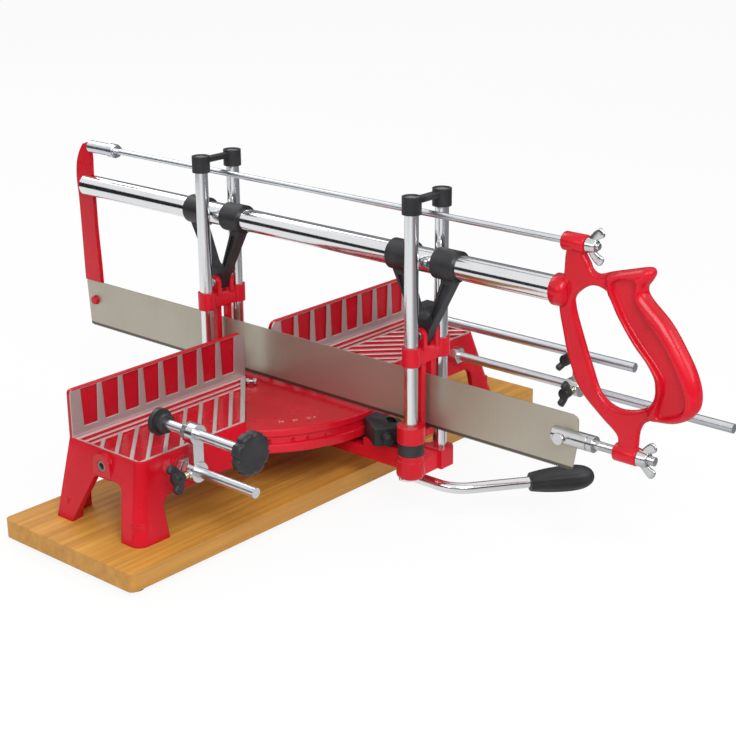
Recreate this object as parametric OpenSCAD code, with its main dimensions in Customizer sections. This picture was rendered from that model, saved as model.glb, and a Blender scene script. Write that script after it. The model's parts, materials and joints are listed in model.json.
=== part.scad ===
// Manual mitre saw: a framed saw on two pairs of guide posts, carried by an arm
// that swings under a cast bed with a slotted fence, on a wooden board.
// Frame: millimetres, +X along the board, -Y towards the handle, +Z up.
// The origin is on the swing axis, at the surface that the feet stand on.

/* [Base board] */
// Length of the wooden board
board_l = 496; // [470:1:540]
// Board in front of the swing axis
board_front = 115; // [110:1:125]
// Board behind the swing axis
board_back = 33; // [30:1:45]
// Thickness of the board
board_t = 15; // [12:0.5:20]
// Radius of the board's upright corners
board_r = 5; // [2:0.5:10]
// Height of the rubber feet
foot_h = 5; // [4:0.5:8]
// Diameter of the rubber feet
foot_d = 18; // [14:1:24]
// Distance of the feet's centres from the board's edges
foot_inset = 14; // [13:1:20]

/* [Bed casting] */
// Height of the table's rib tops above the board
table_h = 60.5; // [56:0.5:68]
// Distance from the swing axis to the outer end of each table
table_half = 202; // [192:1:212]
// Depth of the tables in front of the fence face
table_front = 77; // [74:0.5:80]
// Thickness of the table plate
table_t = 6; // [5:0.5:8]
// Wall of the casting
bed_wall = 4.5; // [3.5:0.5:5.5]
// Outward splay of the legs at the two ends
end_splay = 16; // [10:1:20]
// Outward splay of the legs at the front
front_splay = 13; // [8:1:16]
// Width of a leg's foot along the table
leg_w = 30; // [24:1:36]
// Height of the skirts' lower edge above the board
skirt_h = 31; // [30:0.5:34]
// Height of the arch in each end, above the board
arch_h = 41; // [36:1:44]
// Width of the arch at its top
arch_top_w = 34; // [28:1:38]
// Width of the arch at the board
arch_foot_w = 58; // [50:1:60]
// Distance of the arch's middle in front of the fence face
arch_mid = 41; // [38:1:44]
// Pitch of the slanting ribs, along the table
rib_pitch = 17; // [14:0.5:20]
// Width of a rib
rib_w = 3.2; // [2.6:0.2:5]
// Depth of the recesses between the ribs and between the fence's bars
recess = 1.6; // [1:0.1:2.2]
// Width of the bare border round the ribs
border = 4; // [3.5:0.5:6]

/* [Fence] */
// Height of the fence above the table
fence_h = 39; // [34:0.5:44]
// Thickness of the fence
fence_t = 4; // [3.6:0.1:5.5]
// Half of the gap between the two fences
fence_gap = 16.5; // [15:0.5:18]
// Pitch of the fence's bars
bar_pitch = 21; // [18:0.5:24]
// Width of a bar at its foot
bar_foot_w = 7.5; // [6:0.5:10]
// Width of a bar at its top
bar_top_w = 4.5; // [3.5:0.5:6]
// Height of the band along the fence's foot
fence_band = 7; // [5:0.5:10]

/* [Sector] */
// Radius of the sector between the tables
sector_r = 124.5; // [122:0.5:126]
// Radius of the tables' outer front corners
table_r = 7; // [4:0.5:10]
// Drop of the sector's face below the rib tops
sector_drop = 6; // [5:0.5:8]
// Height of the sector's rim
rim_h = 20; // [18:0.5:22]
// Thickness of the rim and of the sector's plate
rim_t = 4; // [3:0.5:5]
// Diameter of the swing pivot
pivot_d = 10; // [8:0.5:12]

/* [Arm and posts] */
// Thickness of the swing arm
arm_t = 13.5; // [11:0.5:14]
// Width of the swing arm
arm_w = 27; // [24:1:30]
// Distance of the front posts in front of the sector's edge
front_post_gap = 59; // [56:0.5:64]
// Distance of the rear posts behind the swing axis
rear_post_y = 42.5; // [40:0.5:48]
// Half of the distance between the two posts of a pair
post_x = 18; // [17.5:0.5:20]
// Diameter of the posts
post_d = 11; // [10:0.5:12]
// Outer diameter of the bosses that hold the posts
boss_d = 23; // [20:0.5:25]
// Height of the bridge that caps a pair of posts
bridge_h = 13.5; // [9:0.5:14]
// Outer diameter of the caps on the posts
cap_d = 15; // [13.5:0.5:16]
// Outer diameter of the depth stop ring
ring_d = 20.5; // [18:0.5:21]
// Height of the depth stop ring
ring_h = 10; // [8:0.5:13]
// Lift of the saw before its tension rod meets the bridges
lift = 7; // [5:0.5:12]

/* [Saw] */
// Length of the blade
blade_l = 550; // [530:1:580]
// Height of the blade
blade_h = 44; // [40:0.5:48]
// Thickness of the blade
blade_t = 0.9; // [0.6:0.1:1.2]
// Pitch of the teeth
tooth_pitch = 1.8; // [1.4:0.1:3]
// Height of the teeth
tooth_h = 1; // [0.6:0.1:1.4]
// Distance of the blade's far end behind the swing axis
blade_far = 224.5; // [215:0.5:235]
// Diameter of the backbone tube
tube_d = 19; // [18:0.5:20]
// Wall of the backbone tube
tube_wall = 1.5; // [1:0.1:2]
// Height of the tube's axis above the blade's pins
tube_rise = 109.5; // [106:0.5:116]
// Height of the tension rod above the tube's axis
rod_rise = 36.5; // [35:0.5:38]
// Diameter of the tension rod
tension_d = 5; // [4:0.5:6]
// Thickness of the handle's bow and of the far bracket
frame_t = 7; // [6:0.5:8]
// Thickness of the handle's grip
grip_t = 18; // [15:0.5:22]
// Thickness of the far bracket
bracket_t = 4; // [3.5:0.5:6]

/* [Guides] */
// Height of the slider's collars
collar_h = 15; // [12:0.5:18]
// Outer diameter of the slider's collars
collar_d = 14.5; // [14:0.5:17]
// Outer diameter of the slider's foot collar
foot_collar_d = 22; // [18:0.5:23]
// Outer diameter of the tube bushes
bush_d = 24; // [23:0.5:24.5]
// Length of a tube bush
bush_l = 20; // [18:0.5:22]
// Distance of a bush's middle from the posts
bush_y = 22; // [21.5:0.5:24.5]
// Thickness of the wishbone
wishbone_t = 10; // [8:0.5:12]

/* [Clamp and stop] */
// Diameter of the support rods, the clamp spindle and the stop rod
rod_d = 8; // [7:0.5:9]
// Height of the upper rods above the support rods
rod_gap = 30; // [26:0.5:34]
// Drop of the support rods below the rib tops
rod_drop = 12; // [11:0.5:14]
// Distance of the clamp from the left table's end
clamp_inset = 37; // [33:1:42]
// Distance of the stop from the right table's end
stop_inset = 34; // [31:1:40]
// Reach of the clamp's support rod in front of the fence face
clamp_reach = 160; // [150:1:170]
// Reach of the stop's support rod in front of the fence face
stop_reach = 362; // [340:1:380]
// Length of the stop rod
stop_rod_l = 219; // [200:1:240]
// Diameter of the clamp's knob
knob_d = 33; // [28:0.5:34]

/* [Lever and index] */
// Diameter of the clamp lever's rod
lever_d = 9; // [8:0.5:10]
// Straight run of the lever from its screw to the bend
lever_run = 33; // [28:1:40]
// Angle of the lever's bend
lever_bend = 54; // [45:1:60]
// Radius of the lever's bend
lever_bend_r = 28; // [22:1:34]
// Distance from the bend to the lever's grip
lever_neck = 48; // [40:1:55]
// Length of the lever's grip
lever_grip_l = 54; // [48:1:65]
// Diameter of the lever's grip
lever_grip_d = 21; // [18:0.5:23]
// Diameter of the index plunger
plunger_d = 5; // [4:0.5:6]

/* [Fits] */
// Radial clearance of a rod or pin in its hole
fit = 0.05; // [0.02:0.01:0.1]
// Gap between pieces that move past each other
slack = 0.4; // [0.3:0.1:0.6]

/* [Hidden] */
$fn = 64;
red = "#c8102e";
chrome = "#d9dce0";
steel = "#b5b2a6";
black = "#26262a";
zinc = "#e4e6e8";
oak = "#c58b45";

// Heights
board_top = foot_h + board_t;
table_z = board_top + table_h;
fence_z = table_z + fence_h;
sector_z = table_z - sector_drop;
rim_z = sector_z - rim_h;
arch_z = board_top + arch_h;
arm_z1 = rim_z - 1;
arm_z0 = arm_z1 - arm_t;
arm_low_z1 = arm_z1 - 3.5;
skirt_z = max(board_top + skirt_h, arm_low_z1 + 1);
arm_front_z1 = arm_z1 + 3.5;
boss_z0 = arm_z0 - 1;
boss_z1 = arm_z1 + 5.5;
blade_z0 = sector_z + 2;
blade_z1 = blade_z0 + blade_h;
pin_z = blade_z0 + 25.5;
tube_z = pin_z + tube_rise;
tension_z = tube_z + rod_rise;
strap_t = 4;
cap_rise = 2;
strap_z = tension_z + tension_d / 2 + lift + 0.5;
bridge_z1 = strap_z + strap_t + cap_rise;
bridge_z0 = bridge_z1 - bridge_h;
collar_z = blade_z1 + 11;
web_z1 = collar_z + collar_h;
ear_z = web_z1 + 7;
foot_collar_z = boss_z1 + ring_h;
foot_collar_h = 13.5;
rod_z = table_z - rod_drop;
upper_z = rod_z + rod_gap;
lever_z = arm_z0 - 10;

// Places along the saw
blade_near = blade_far - blade_l;
handle_y = blade_near;
tube_near = handle_y + 16;
tube_far = blade_far - 9;
bracket_y = blade_far - 11.5;
upper_lug_y = [handle_y - 0.7, handle_y + 18];
lower_lug_y = [handle_y - 50.8, handle_y - 32];

// Places on the bed and the arm
back_splay = 1;
seat_y = table_front + front_splay * rod_drop / table_h + 2;
nut_t = 6;
front_post_y = sector_r + front_post_gap;
clamp_x = table_half - clamp_inset;
stop_x = table_half - stop_inset;
brake_y = front_post_y - 18.5;
index_z = arm_z1 + 10.5;
index_turn = 33;
index_front = [-15, -sector_r - 31.2];
index_top = arm_z1 + 18;
block_l = 33;
tip_reach = 39.2;
arm_step_y = sector_r + 5.5;
rim_r = sector_r - 1;
groove_r = sector_r - 2.8;
groove_z = [index_z - 2, index_z + 4];
mitre_angles = [-45, -36, -30, -22.5, 0, 22.5, 30, 36, 45];

// Rods' ends
clamp_collar_y = seat_y + nut_t + 1;
collar_l = 13;
clamp_pad_y = 57;
pad_t = 4;
pad_hub_l = 6.5;
clamp_knob_y = 147;
knob_hub = 4;
knob_l = 13;
stop_collar_y = 205;
stop_rod_y = 50;
stop_pad_l = 14;

// A point between two points
function between(a, b, t) = a + (b - a) * t;

// One Catmull-Rom step from b to c
function curve(a, b, c, d, t) =
  0.5 * (2 * b + (c - a) * t + (2 * a - 5 * b + 4 * c - d) * t * t
  + (3 * b - a - 3 * c + d) * t * t * t);

// A smooth closed outline through a few points, with steps points per span
function loop_through(p, steps = 5) = [
  for (i = [0:len(p) - 1], k = [0:steps - 1])
    curve(p[(i + len(p) - 1) % len(p)], p[i], p[(i + 1) % len(p)], p[(i + 2) % len(p)], k / steps)
];

// Points of an arc about a centre
function arc(centre, r, a0, a1, steps = 8) =
  [for (i = [0:steps]) centre + r * [cos(a0 + (a1 - a0) * i / steps), sin(a0 + (a1 - a0) * i / steps)]];

// A bar along -Y from y0 to y1, both counted in front of the fence face
module along_y(d, y0, y1) {
  translate([0, -y0, 0]) rotate([90, 0, 0]) cylinder(d = d, h = y1 - y0);
}

// A hexagon bar along -Y, af across its flats
module hex_along_y(af, y0, y1) {
  translate([0, -y0, 0]) rotate([90, 0, 0]) cylinder(d = af / cos(30), h = y1 - y0, $fn = 6);
}

// A plate in the plane of the blade, from an outline in Y and Z
module blade_plane(t) {
  rotate([90, 0, 90]) linear_extrude(t, center = true) children();
}

// A plate that stands across the saw, from an outline in X and Z
module across(y0, y1) {
  translate([0, y1, 0]) rotate([90, 0, 0]) linear_extrude(y1 - y0) children();
}

// A copy on each side of the blade's plane
module both_sides() {
  children();
  mirror([1, 0, 0]) children();
}

// Outline of the left table: its inner end runs at 45 degrees towards the pivot
function table_outline(half, front, back, gap, r) = concat(
  [[-half, back]], arc([-half + r, -front + r], r, 180, 270, 5),
  [[-front - gap, -front], [-gap, 0], [-gap, back]]);

// Shell of the left table with its splayed legs
module table_shell() {
  inner_gap = fence_gap + bed_wall * sqrt(2);
  arch_foot = board_top - 1;
  leg_x = table_half + end_splay - leg_w;
  difference() {
    hull() {
      translate([0, 0, table_z - 1])
        linear_extrude(1) polygon(table_outline(table_half, table_front, fence_t, fence_gap, table_r));
      translate([0, 0, board_top]) linear_extrude(1)
        polygon(table_outline(table_half + end_splay, table_front + front_splay,
                              fence_t + back_splay, fence_gap, table_r + 2));
    }
    hull() {
      translate([0, 0, table_z - table_t - 1]) linear_extrude(1)
        polygon(table_outline(table_half - bed_wall, table_front - bed_wall,
                              fence_t - bed_wall, inner_gap, table_r - 2));
      translate([0, 0, board_top - 1]) linear_extrude(1)
        polygon(table_outline(table_half + end_splay - bed_wall, table_front + front_splay - bed_wall,
                              fence_t + back_splay - bed_wall, inner_gap, table_r));
    }
    across(-table_front - front_splay - 1, fence_t + back_splay + 1)
      polygon([[-leg_x, arch_foot], [1, arch_foot], [1, skirt_z], [-leg_x + 5, skirt_z], [-leg_x, skirt_z - 5]]);
    translate([-table_half, 0, 0]) blade_plane(4 * end_splay) end_arch(arch_foot);
  }
}

// Outline of the arch in an end of the bed, with round upper corners
module end_arch(foot_z) {
  corner = 7;
  polygon(concat(
    [[-arch_mid + arch_foot_w / 2, foot_z]],
    arc([-arch_mid - 4 + arch_top_w / 2 - corner, arch_z - corner], corner, 10, 90, 5),
    arc([-arch_mid - 4 - arch_top_w / 2 + corner, arch_z - corner], corner, 90, 170, 5),
    [[-arch_mid - arch_foot_w / 2, foot_z]]));
}

// Recesses in the left table: red fields between the bare ribs
module table_recesses() {
  front = table_front - border;
  back = 19;
  outer = table_half - border + 1;
  inner_gap = fence_gap + border * sqrt(2);
  run = front - back;
  rib_x = rib_w * sqrt(2);
  count = ceil((outer + run) / rib_pitch);
  translate([0, 0, table_z - recess]) linear_extrude(recess + 1) {
    difference() {
      polygon([[-outer, -back], [-outer, -front], [-front - inner_gap, -front], [-back - inner_gap, -back]]);
      for (i = [0:count]) {
        x = -outer - run + 8 + i * rib_pitch;
        polygon([[x, -front - 1], [x + rib_x, -front - 1], [x + rib_x + run + 2, -back + 1], [x + run + 2, -back + 1]]);
      }
    }
    for (y = [[16.5, 12], [9.5, 3.5]])
      polygon([[-outer, -y[1]], [-outer, -y[0]], [-y[0] - inner_gap, -y[0]], [-y[1] - inner_gap, -y[1]]]);
  }
}

// The left fence with a round inner corner and recessed fields between its bars
module fence() {
  corner = 7;
  first = fence_gap + 20;
  count = floor((table_half - first - 14) / bar_pitch);
  foot_w = bar_pitch - bar_foot_w;
  top_w = bar_pitch - bar_top_w;
  difference() {
    across(0, fence_t) polygon(concat(
      [[-table_half, table_z - 2], [-fence_gap, table_z - 2]],
      arc([-fence_gap - corner, fence_z - corner], corner, 0, 90, 6),
      arc([-table_half + 3, fence_z - 3], 3, 90, 180, 3)));
    for (i = [0:count]) translate([-first - i * bar_pitch, 0, 0]) across(-1, recess)
      polygon([[-foot_w / 2, table_z + fence_band], [foot_w / 2, table_z + fence_band],
               [top_w / 2, fence_z - 1.4], [-top_w / 2, fence_z - 1.4]]);
  }
}

// Round seats in the left half of the bed: leg screws, rod socket and end socket
module bed_bosses(rod_x) {
  for (y = leg_screw_y) translate([-leg_screw_x, y, board_top]) cylinder(d = 13, h = 16);
  translate([-rod_x, 0, rod_z]) along_y(17, table_front - 16, seat_y);
  end_boss();
}

// Raised pad on the end of the bed that holds a threaded socket
module end_boss() {
  translate([-table_half - socket_out, 0, 0]) rotate([90, 0, 90]) linear_extrude(socket_l)
    polygon(concat([[-arch_mid + 13, arch_z - 1]],
                   arc([-arch_mid + 3, rod_z + 1], 10, 0, 180, 8),
                   [[-arch_mid - 7, arch_z - 1]]));
}

leg_screw_x = table_half + end_splay - 9.5;
leg_screw_y = [-(table_front + front_splay - 9.5), fence_t + back_splay - 9.5];
leg_screw_d = 5;
socket_out = 5;
socket_l = 20;
socket_d = 9;
socket_hole_d = 5.5;

// Half of the bed, on the left, with its rod socket at rod_x
module half_bed(rod_x) {
  difference() {
    union() {
      difference() {
        union() {
          table_shell();
          fence();
        }
        table_recesses();
      }
      bed_bosses(rod_x);
    }
    for (y = leg_screw_y) translate([-leg_screw_x, y, board_top - 1]) cylinder(d = leg_screw_d + 2 * fit, h = 14);
    translate([-table_half - socket_out - 1, -arch_mid + 3, rod_z + 1]) rotate([0, 90, 0])
      cylinder(d = socket_d + 2 * fit, h = socket_l - 3);
    translate([-rod_x, 0, rod_z]) along_y(rod_d + 2 * fit, table_front - 13, seat_y + 1);
  }
}

module left_table() {
  color(red) difference() {
    half_bed(clamp_x);
    mitre_stop_place() along_z(4 + 2 * fit, -4, 1);
  }
}

module right_table() {
  color(red) mirror([1, 0, 0]) half_bed(stop_x);
}

hub_d = 52;

// Profile of the sector's edge: a lower band, the index groove and a narrower upper band
module rim_profile() {
  inner = rim_r - rim_t;
  polygon([
    [inner, rim_z + 1], [inner + 1, rim_z], [sector_r - 0.8, rim_z], [sector_r, rim_z + 0.8],
    [sector_r, groove_z[0] - 0.8], [sector_r - 0.8, groove_z[0]],
    [groove_r, groove_z[0] + 0.4], [groove_r, groove_z[1] - 0.6], [rim_r - 0.6, groove_z[1]],
    [rim_r, groove_z[1] + 0.6], [rim_r, sector_z - 1.2], [rim_r - 1.2, sector_z], [inner, sector_z]]);
}

// Plate between the tables, with its grooved rim, hub and index holes
module sector() {
  color(red) difference() {
    union() {
      intersection() {
        union() {
          translate([0, 0, sector_z - rim_t - 1]) cylinder(r = rim_r - 1, h = rim_t + 1);
          rotate_extrude() rim_profile();
        }
        linear_extrude(table_z) polygon([
          [fence_gap, fence_t], [fence_gap, 0], [sector_r + fence_gap, -sector_r],
          [-sector_r - fence_gap, -sector_r], [-fence_gap, 0], [-fence_gap, fence_t]]);
      }
      intersection() {
        translate([0, 0, arm_z1]) cylinder(d = hub_d, h = sector_z - arm_z1);
        hub_bounds();
      }
    }
    translate([0, 0, arm_z1 - 1]) cylinder(d = pivot_d + 2 * fit, h = sector_z - arm_z1 - 3);
    for (a = mitre_angles) rotate(a) index_place() along_y(tip_d + 0.6, -tip_reach - 2.5, -tip_reach + 3);
  }
}

// Room for the hub: all of it under the tables' skirts, and the gap between them above
module hub_bounds() {
  linear_extrude(skirt_z) square(2 * hub_d, center = true);
  linear_extrude(table_z) polygon([
    [fence_gap, hub_d], [fence_gap, 0], [hub_d + fence_gap, -hub_d],
    [-hub_d - fence_gap, -hub_d], [-fence_gap, 0], [-fence_gap, hub_d]]);
}

module along_z(d, z0, z1) {
  translate([0, 0, z0]) cylinder(d = d, h = z1 - z0);
}

// Place of the stop screw in the left table's slanting inner end, its axis along local +Z
module mitre_stop_place() {
  translate([-fence_gap - 5, -5, sector_z + 3]) rotate([0, 0, -45]) rotate([0, 90, 0]) children();
}

// Threaded sleeves in the two ends of the bed
module socket_inserts() {
  color(zinc) both_sides() translate([-table_half - socket_out + 0.3, -arch_mid + 3, rod_z + 1]) rotate([0, 90, 0])
    difference() {
      cylinder(d = socket_d, h = socket_l - 4.4);
      translate([0, 0, -1]) cylinder(d = socket_hole_d, h = socket_l);
    }
}

module base_board() {
  color(oak) difference() {
    translate([0, 0, foot_h]) linear_extrude(board_t) polygon(concat(
      arc([board_l / 2 - board_r, board_back - board_r], board_r, 0, 90, 6),
      arc([-board_l / 2 + board_r, board_back - board_r], board_r, 90, 180, 6),
      arc([-board_l / 2 + board_r, -board_front + board_r], board_r, 180, 270, 6),
      arc([board_l / 2 - board_r, -board_front + board_r], board_r, 270, 360, 6)));
    both_sides() for (y = leg_screw_y) translate([-leg_screw_x, y, foot_h - 1]) {
      cylinder(d = leg_screw_d + 2 * fit, h = board_t + 2);
      cylinder(d = 10 + 2 * fit, h = 5);
    }
  }
}

module rubber_feet() {
  color(black) cylinder(d1 = foot_d - 3, d2 = foot_d, h = foot_h);
  color(black) both_sides() for (y = [-board_front + foot_inset, board_back - foot_inset])
    translate([-board_l / 2 + foot_inset, y, 0]) cylinder(d1 = foot_d - 3, d2 = foot_d, h = foot_h);
}

// Screws from under the board into the legs
module board_screws() {
  color(zinc) both_sides() for (y = leg_screw_y) translate([-leg_screw_x, y, foot_h + 0.5]) {
    cylinder(d = 10, h = 3.5);
    cylinder(d = leg_screw_d, h = board_t + 11);
  }
}

module pivot_washer() {
  color(zinc) translate([0, 0, arm_z0 - 2]) difference() {
    cylinder(d = 24, h = 2);
    translate([0, 0, -1]) cylinder(d = pivot_d + 2 * fit, h = 4);
  }
}

module pivot_bolt() {
  color(zinc) {
    translate([0, 0, arm_z0 - 9]) cylinder(d = 17 / cos(30), h = 7, $fn = 6);
    translate([0, 0, arm_z0 - 3]) cylinder(d = pivot_d, h = sector_z - arm_z0 - 2);
  }
}

module mitre_stop_screw() {
  color(zinc) mitre_stop_place() {
    along_z(4, -3.5, 9.5);
    translate([0, 0, 0.3]) cylinder(d = 5.8, h = 3, $fn = 6);
  }
}

// Support rods in the bed's front, each with its lock nut
module support_rod(x, reach) {
  color(chrome) translate([x, 0, rod_z]) along_y(rod_d, table_front - 12, reach);
}

module support_nut(x) {
  color(zinc) translate([x, 0, rod_z]) difference() {
    hex_along_y(13, seat_y, seat_y + nut_t);
    along_y(rod_d + 2 * fit, seat_y - 1, seat_y + nut_t + 1);
  }
}

module clamp_support_rod() support_rod(-clamp_x, clamp_reach);
module stop_support_rod() support_rod(stop_x, stop_reach);
module clamp_rod_nut() support_nut(-clamp_x);
module stop_rod_nut() support_nut(stop_x);

// Place of each post, as [x, y]
front_posts = [[-post_x, -front_post_y], [post_x, -front_post_y]];
rear_posts = [[-post_x, rear_post_y], [post_x, rear_post_y]];

module swing_arm() {
  half = arm_w / 2;
  fork_y = front_post_y - boss_d / 2 - 6;
  block = post_d / 2 + 4;
  color(red) difference() {
    union() {
      translate([0, 0, arm_z0]) {
        cylinder(d = 44, h = arm_low_z1 - arm_z0);
        cylinder(d = 2 * fence_gap - 4, h = arm_t);
        translate([-half, -arm_step_y, 0]) cube([arm_w, arm_step_y + rear_post_y - 8, arm_low_z1 - arm_z0]);
        translate([-half, -fork_y, 0]) cube([arm_w, fork_y - arm_step_y, arm_front_z1 - arm_z0]);
        linear_extrude(arm_t) polygon([
          [-half, -fork_y], [half, -fork_y], [post_x + block, -front_post_y + 3],
          [post_x, -front_post_y - 7], [-post_x, -front_post_y - 7], [-post_x - boss_d / 2, -front_post_y]]);
        linear_extrude(arm_t) polygon([
          [-half, 18], [half, 18], [post_x + boss_d / 2 - 1, rear_post_y], [post_x, rear_post_y + 7],
          [-post_x, rear_post_y + 7], [-post_x - boss_d / 2 + 1, rear_post_y]]);
      }
      for (p = concat(rear_posts, [front_posts[0]]))
        translate([p[0], p[1], boss_z0]) post_boss();
      translate([front_posts[1][0], front_posts[1][1], boss_z0]) linear_extrude(arm_z1 + 1 - boss_z0)
        polygon([[-block, block], [-block, -block], [block - 4, -block], [block, -block + 4], [block, block]]);
    }
    for (p = concat(rear_posts, front_posts))
      translate([p[0], p[1], boss_z0 + 3]) cylinder(d = post_d + 2 * fit, h = boss_z1);
    translate([0, 0, arm_z0 - 1]) cylinder(d = pivot_d + 2 * fit, h = arm_t + 2);
    translate([0, -brake_y, arm_z0 - 1]) cylinder(d = lever_screw_d + 2 * fit, h = arm_t + 2);
    translate([-shoe_w / 2 - slack, -brake_y - 7, arm_low_z1])
      cube([shoe_w + 2 * slack, brake_y + 7 - arm_step_y + 1, arm_t]);
  }
}

// Round seat of a post, with a bowl-shaped foot and a shoulder under its rim
module post_boss() {
  r = boss_d / 2;
  h = boss_z1 - boss_z0;
  rotate_extrude() polygon(concat(
    [[0, 0]], arc([r - 4, 4], 4, -85, 0, 5),
    [[r, h - 5], [r - 0.8, h - 4.2], [r - 0.8, h - 0.8], [r - 1.6, h], [0, h]]));
}

module post(p) {
  color(chrome) translate([p[0], p[1], boss_z0 + 3]) cylinder(d = post_d, h = bridge_z1 - 0.6 - boss_z0 - 3);
}

module front_left_post() post(front_posts[0]);
module front_right_post() post(front_posts[1]);
module rear_left_post() post(rear_posts[0]);
module rear_right_post() post(rear_posts[1]);

// Two caps on a pair of posts, joined by a strap at their tops
module post_bridge(pair) {
  color(black) translate([0, pair[0][1], 0]) difference() {
    union() {
      for (p = pair) translate([p[0], 0, bridge_z0]) cylinder(d = cap_d, h = bridge_h);
      translate([-post_x, -3.5, strap_z]) cube([2 * post_x, 7, strap_t]);
    }
    for (p = pair) translate([p[0], 0, bridge_z0 - 1]) cylinder(d = post_d + 2 * fit, h = bridge_h + 2);
  }
}

module front_post_bridge() post_bridge(front_posts);
module rear_post_bridge() post_bridge(rear_posts);

// Ring that stops the saw's fall, with its side screw
module depth_stop_ring() {
  color(black) translate([front_posts[0][0], front_posts[0][1], boss_z1]) difference() {
    cylinder(d = ring_d, h = ring_h);
    translate([0, 0, -1]) cylinder(d = post_d + 2 * fit, h = ring_h + 2);
    depth_screw_place() along_z(3 + 2 * fit, 0, ring_d);
  }
}

module depth_screw_place() {
  translate([0, 0, ring_h / 2]) rotate([0, -90, 200]) children();
}

module depth_stop_screw() {
  color(zinc) translate([front_posts[0][0], front_posts[0][1], boss_z1]) depth_screw_place() {
    along_z(3, post_d / 2 + 0.2, ring_d / 2 + 1.6);
    along_z(4.5, ring_d / 2 + 0.3, ring_d / 2 + 2.3);
  }
}

// Place of the index mechanism: the middle of its block's front face, local +Y along the plunger to the rim
module index_place() {
  translate([index_front[0], index_front[1], index_z]) rotate(-index_turn) children();
}

// Black oblique block on the arm that guides the index plunger
module index_block() {
  color(black) difference() {
    intersection() {
      index_place() translate([-9.5, 0, arm_front_z1 - index_z]) cube([26, 48, index_top - arm_front_z1]);
      translate([-30, -index_room_y, 0]) cube([38, index_room_y - sector_r - 1.2, table_z]);
    }
    index_place() {
      along_y(chamber_d, -block_l + 12, 1);
      along_y(plunger_d + 2 * fit, -48, 1);
    }
    index_place() translate([9.5, 13, index_top - index_z - 3.4]) linear_extrude(5)
      polygon(concat(arc([0, 0], 3.5, 180, 360, 6), arc([0, 7], 3.5, 0, 180, 6)));
  }
}

index_room_y = sector_r + 37.5;
chamber_d = 8.6;
tip_d = 3;
bush_depth = 7;

// Threaded bush that closes the plunger's chamber
module index_bush() {
  color(black) index_place() difference() {
    union() {
      along_y(chamber_d - 2 * fit, -bush_depth, 0);
      along_y(chamber_d + 1, 0, 3);
    }
    along_y(plunger_d + 2 * fit, -bush_depth - 1, 4);
  }
}

// Pin with a collar inside the block and a round knob in front
module index_plunger() {
  knob_y = 3 + slack;
  color(black) index_place() {
    along_y(tip_d, -tip_reach, -block_l - 1);
    along_y(plunger_d, -block_l - 1.5, knob_y + 5);
    along_y(chamber_d - 1, -collar_at - collar_t, -collar_at);
    along_y(9.5, knob_y, knob_y + 6);
    along_y(7.5, knob_y + 6, knob_y + 7.5);
  }
}

collar_t = 2;

// Distance of the plunger's collar behind the block's front face
collar_at = block_l - 12 - slack - collar_t;
spring_wire = 0.9;
spring_turns = 4;

// Round wire swept along a helix, one unbroken tube with closed ends
module helix(r, wire, length, turns) {
  rings = 8 * turns;
  sides = 6;
  pitch = length / turns;
  points = [for (i = [0:rings], k = [0:sides - 1])
    let (a = 360 * turns * i / rings, b = 360 * k / sides)
    [(r + wire / 2 * cos(b)) * cos(a), (r + wire / 2 * cos(b)) * sin(a), pitch * turns * i / rings + wire / 2 * sin(b)]];
  walls = [for (i = [0:rings - 1], k = [0:sides - 1])
    let (a = i * sides + k, b = i * sides + (k + 1) % sides)
    each [[a, a + sides, b], [b, a + sides, b + sides]]];
  ends = [for (k = [1:sides - 2]) each [[0, k, k + 1], [rings * sides, rings * sides + k + 1, rings * sides + k]]];
  polyhedron(points, concat(walls, ends));
}

// Least gap between neighbouring turns of the spring
spring_l = collar_at - bush_depth - spring_wire - 0.2;
echo(spring_gap = spring_l / spring_turns - spring_wire);

module index_spring() {
  color(zinc) index_place() translate([0, collar_at - spring_wire / 2 - 0.1, 0]) rotate([90, 0, 0])
    helix((plunger_d + chamber_d) / 4, spring_wire, spring_l, spring_turns);
}

// Bar that the lever's screw tilts, so that its pad grips the rim's lower edge
module brake_shoe() {
  color(black) {
    translate([-shoe_w / 2, -brake_y - 6, arm_low_z1]) cube([shoe_w, brake_y + 6 - rim_r + 9, 3.2]);
    translate([-shoe_w / 2, -rim_r - 2, arm_low_z1]) cube([shoe_w, 10, rim_z - arm_low_z1 - slack]);
  }
}

shoe_w = 11.6;
lever_screw_d = 8;
lever_eye_d = 14;

module clamp_screw() {
  color(zinc) translate([0, -brake_y, 0]) {
    translate([0, 0, lever_z - 3.8]) cylinder(d = lever_screw_d, h = arm_low_z1 - lever_z + 3.8 - slack);
  }
}

// Bent rod of the clamp lever, with its eye round the screw
module lever_rod() {
  color(chrome) translate([0, -brake_y, lever_z]) difference() {
    union() {
      translate([0, 0, -4]) cylinder(d = lever_eye_d, h = 14 - slack);
      along_y(lever_d, 5, lever_run);
      translate([lever_bend_r, -lever_run, 0]) rotate(180)
        rotate_extrude(angle = lever_bend) translate([lever_bend_r, 0]) circle(d = lever_d - 2 * fit);
      lever_end() along_y(lever_d, 0, lever_neck + lever_grip_l - 10);
    }
    translate([0, 0, -7]) cylinder(d = lever_screw_d + 2 * fit, h = 20);
  }
}

// Place where the lever's bend ends, local -Y along the grip
module lever_end() {
  translate([lever_bend_r * (1 - cos(lever_bend)), -lever_run - lever_bend_r * sin(lever_bend), 0])
    rotate(lever_bend) children();
}

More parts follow.
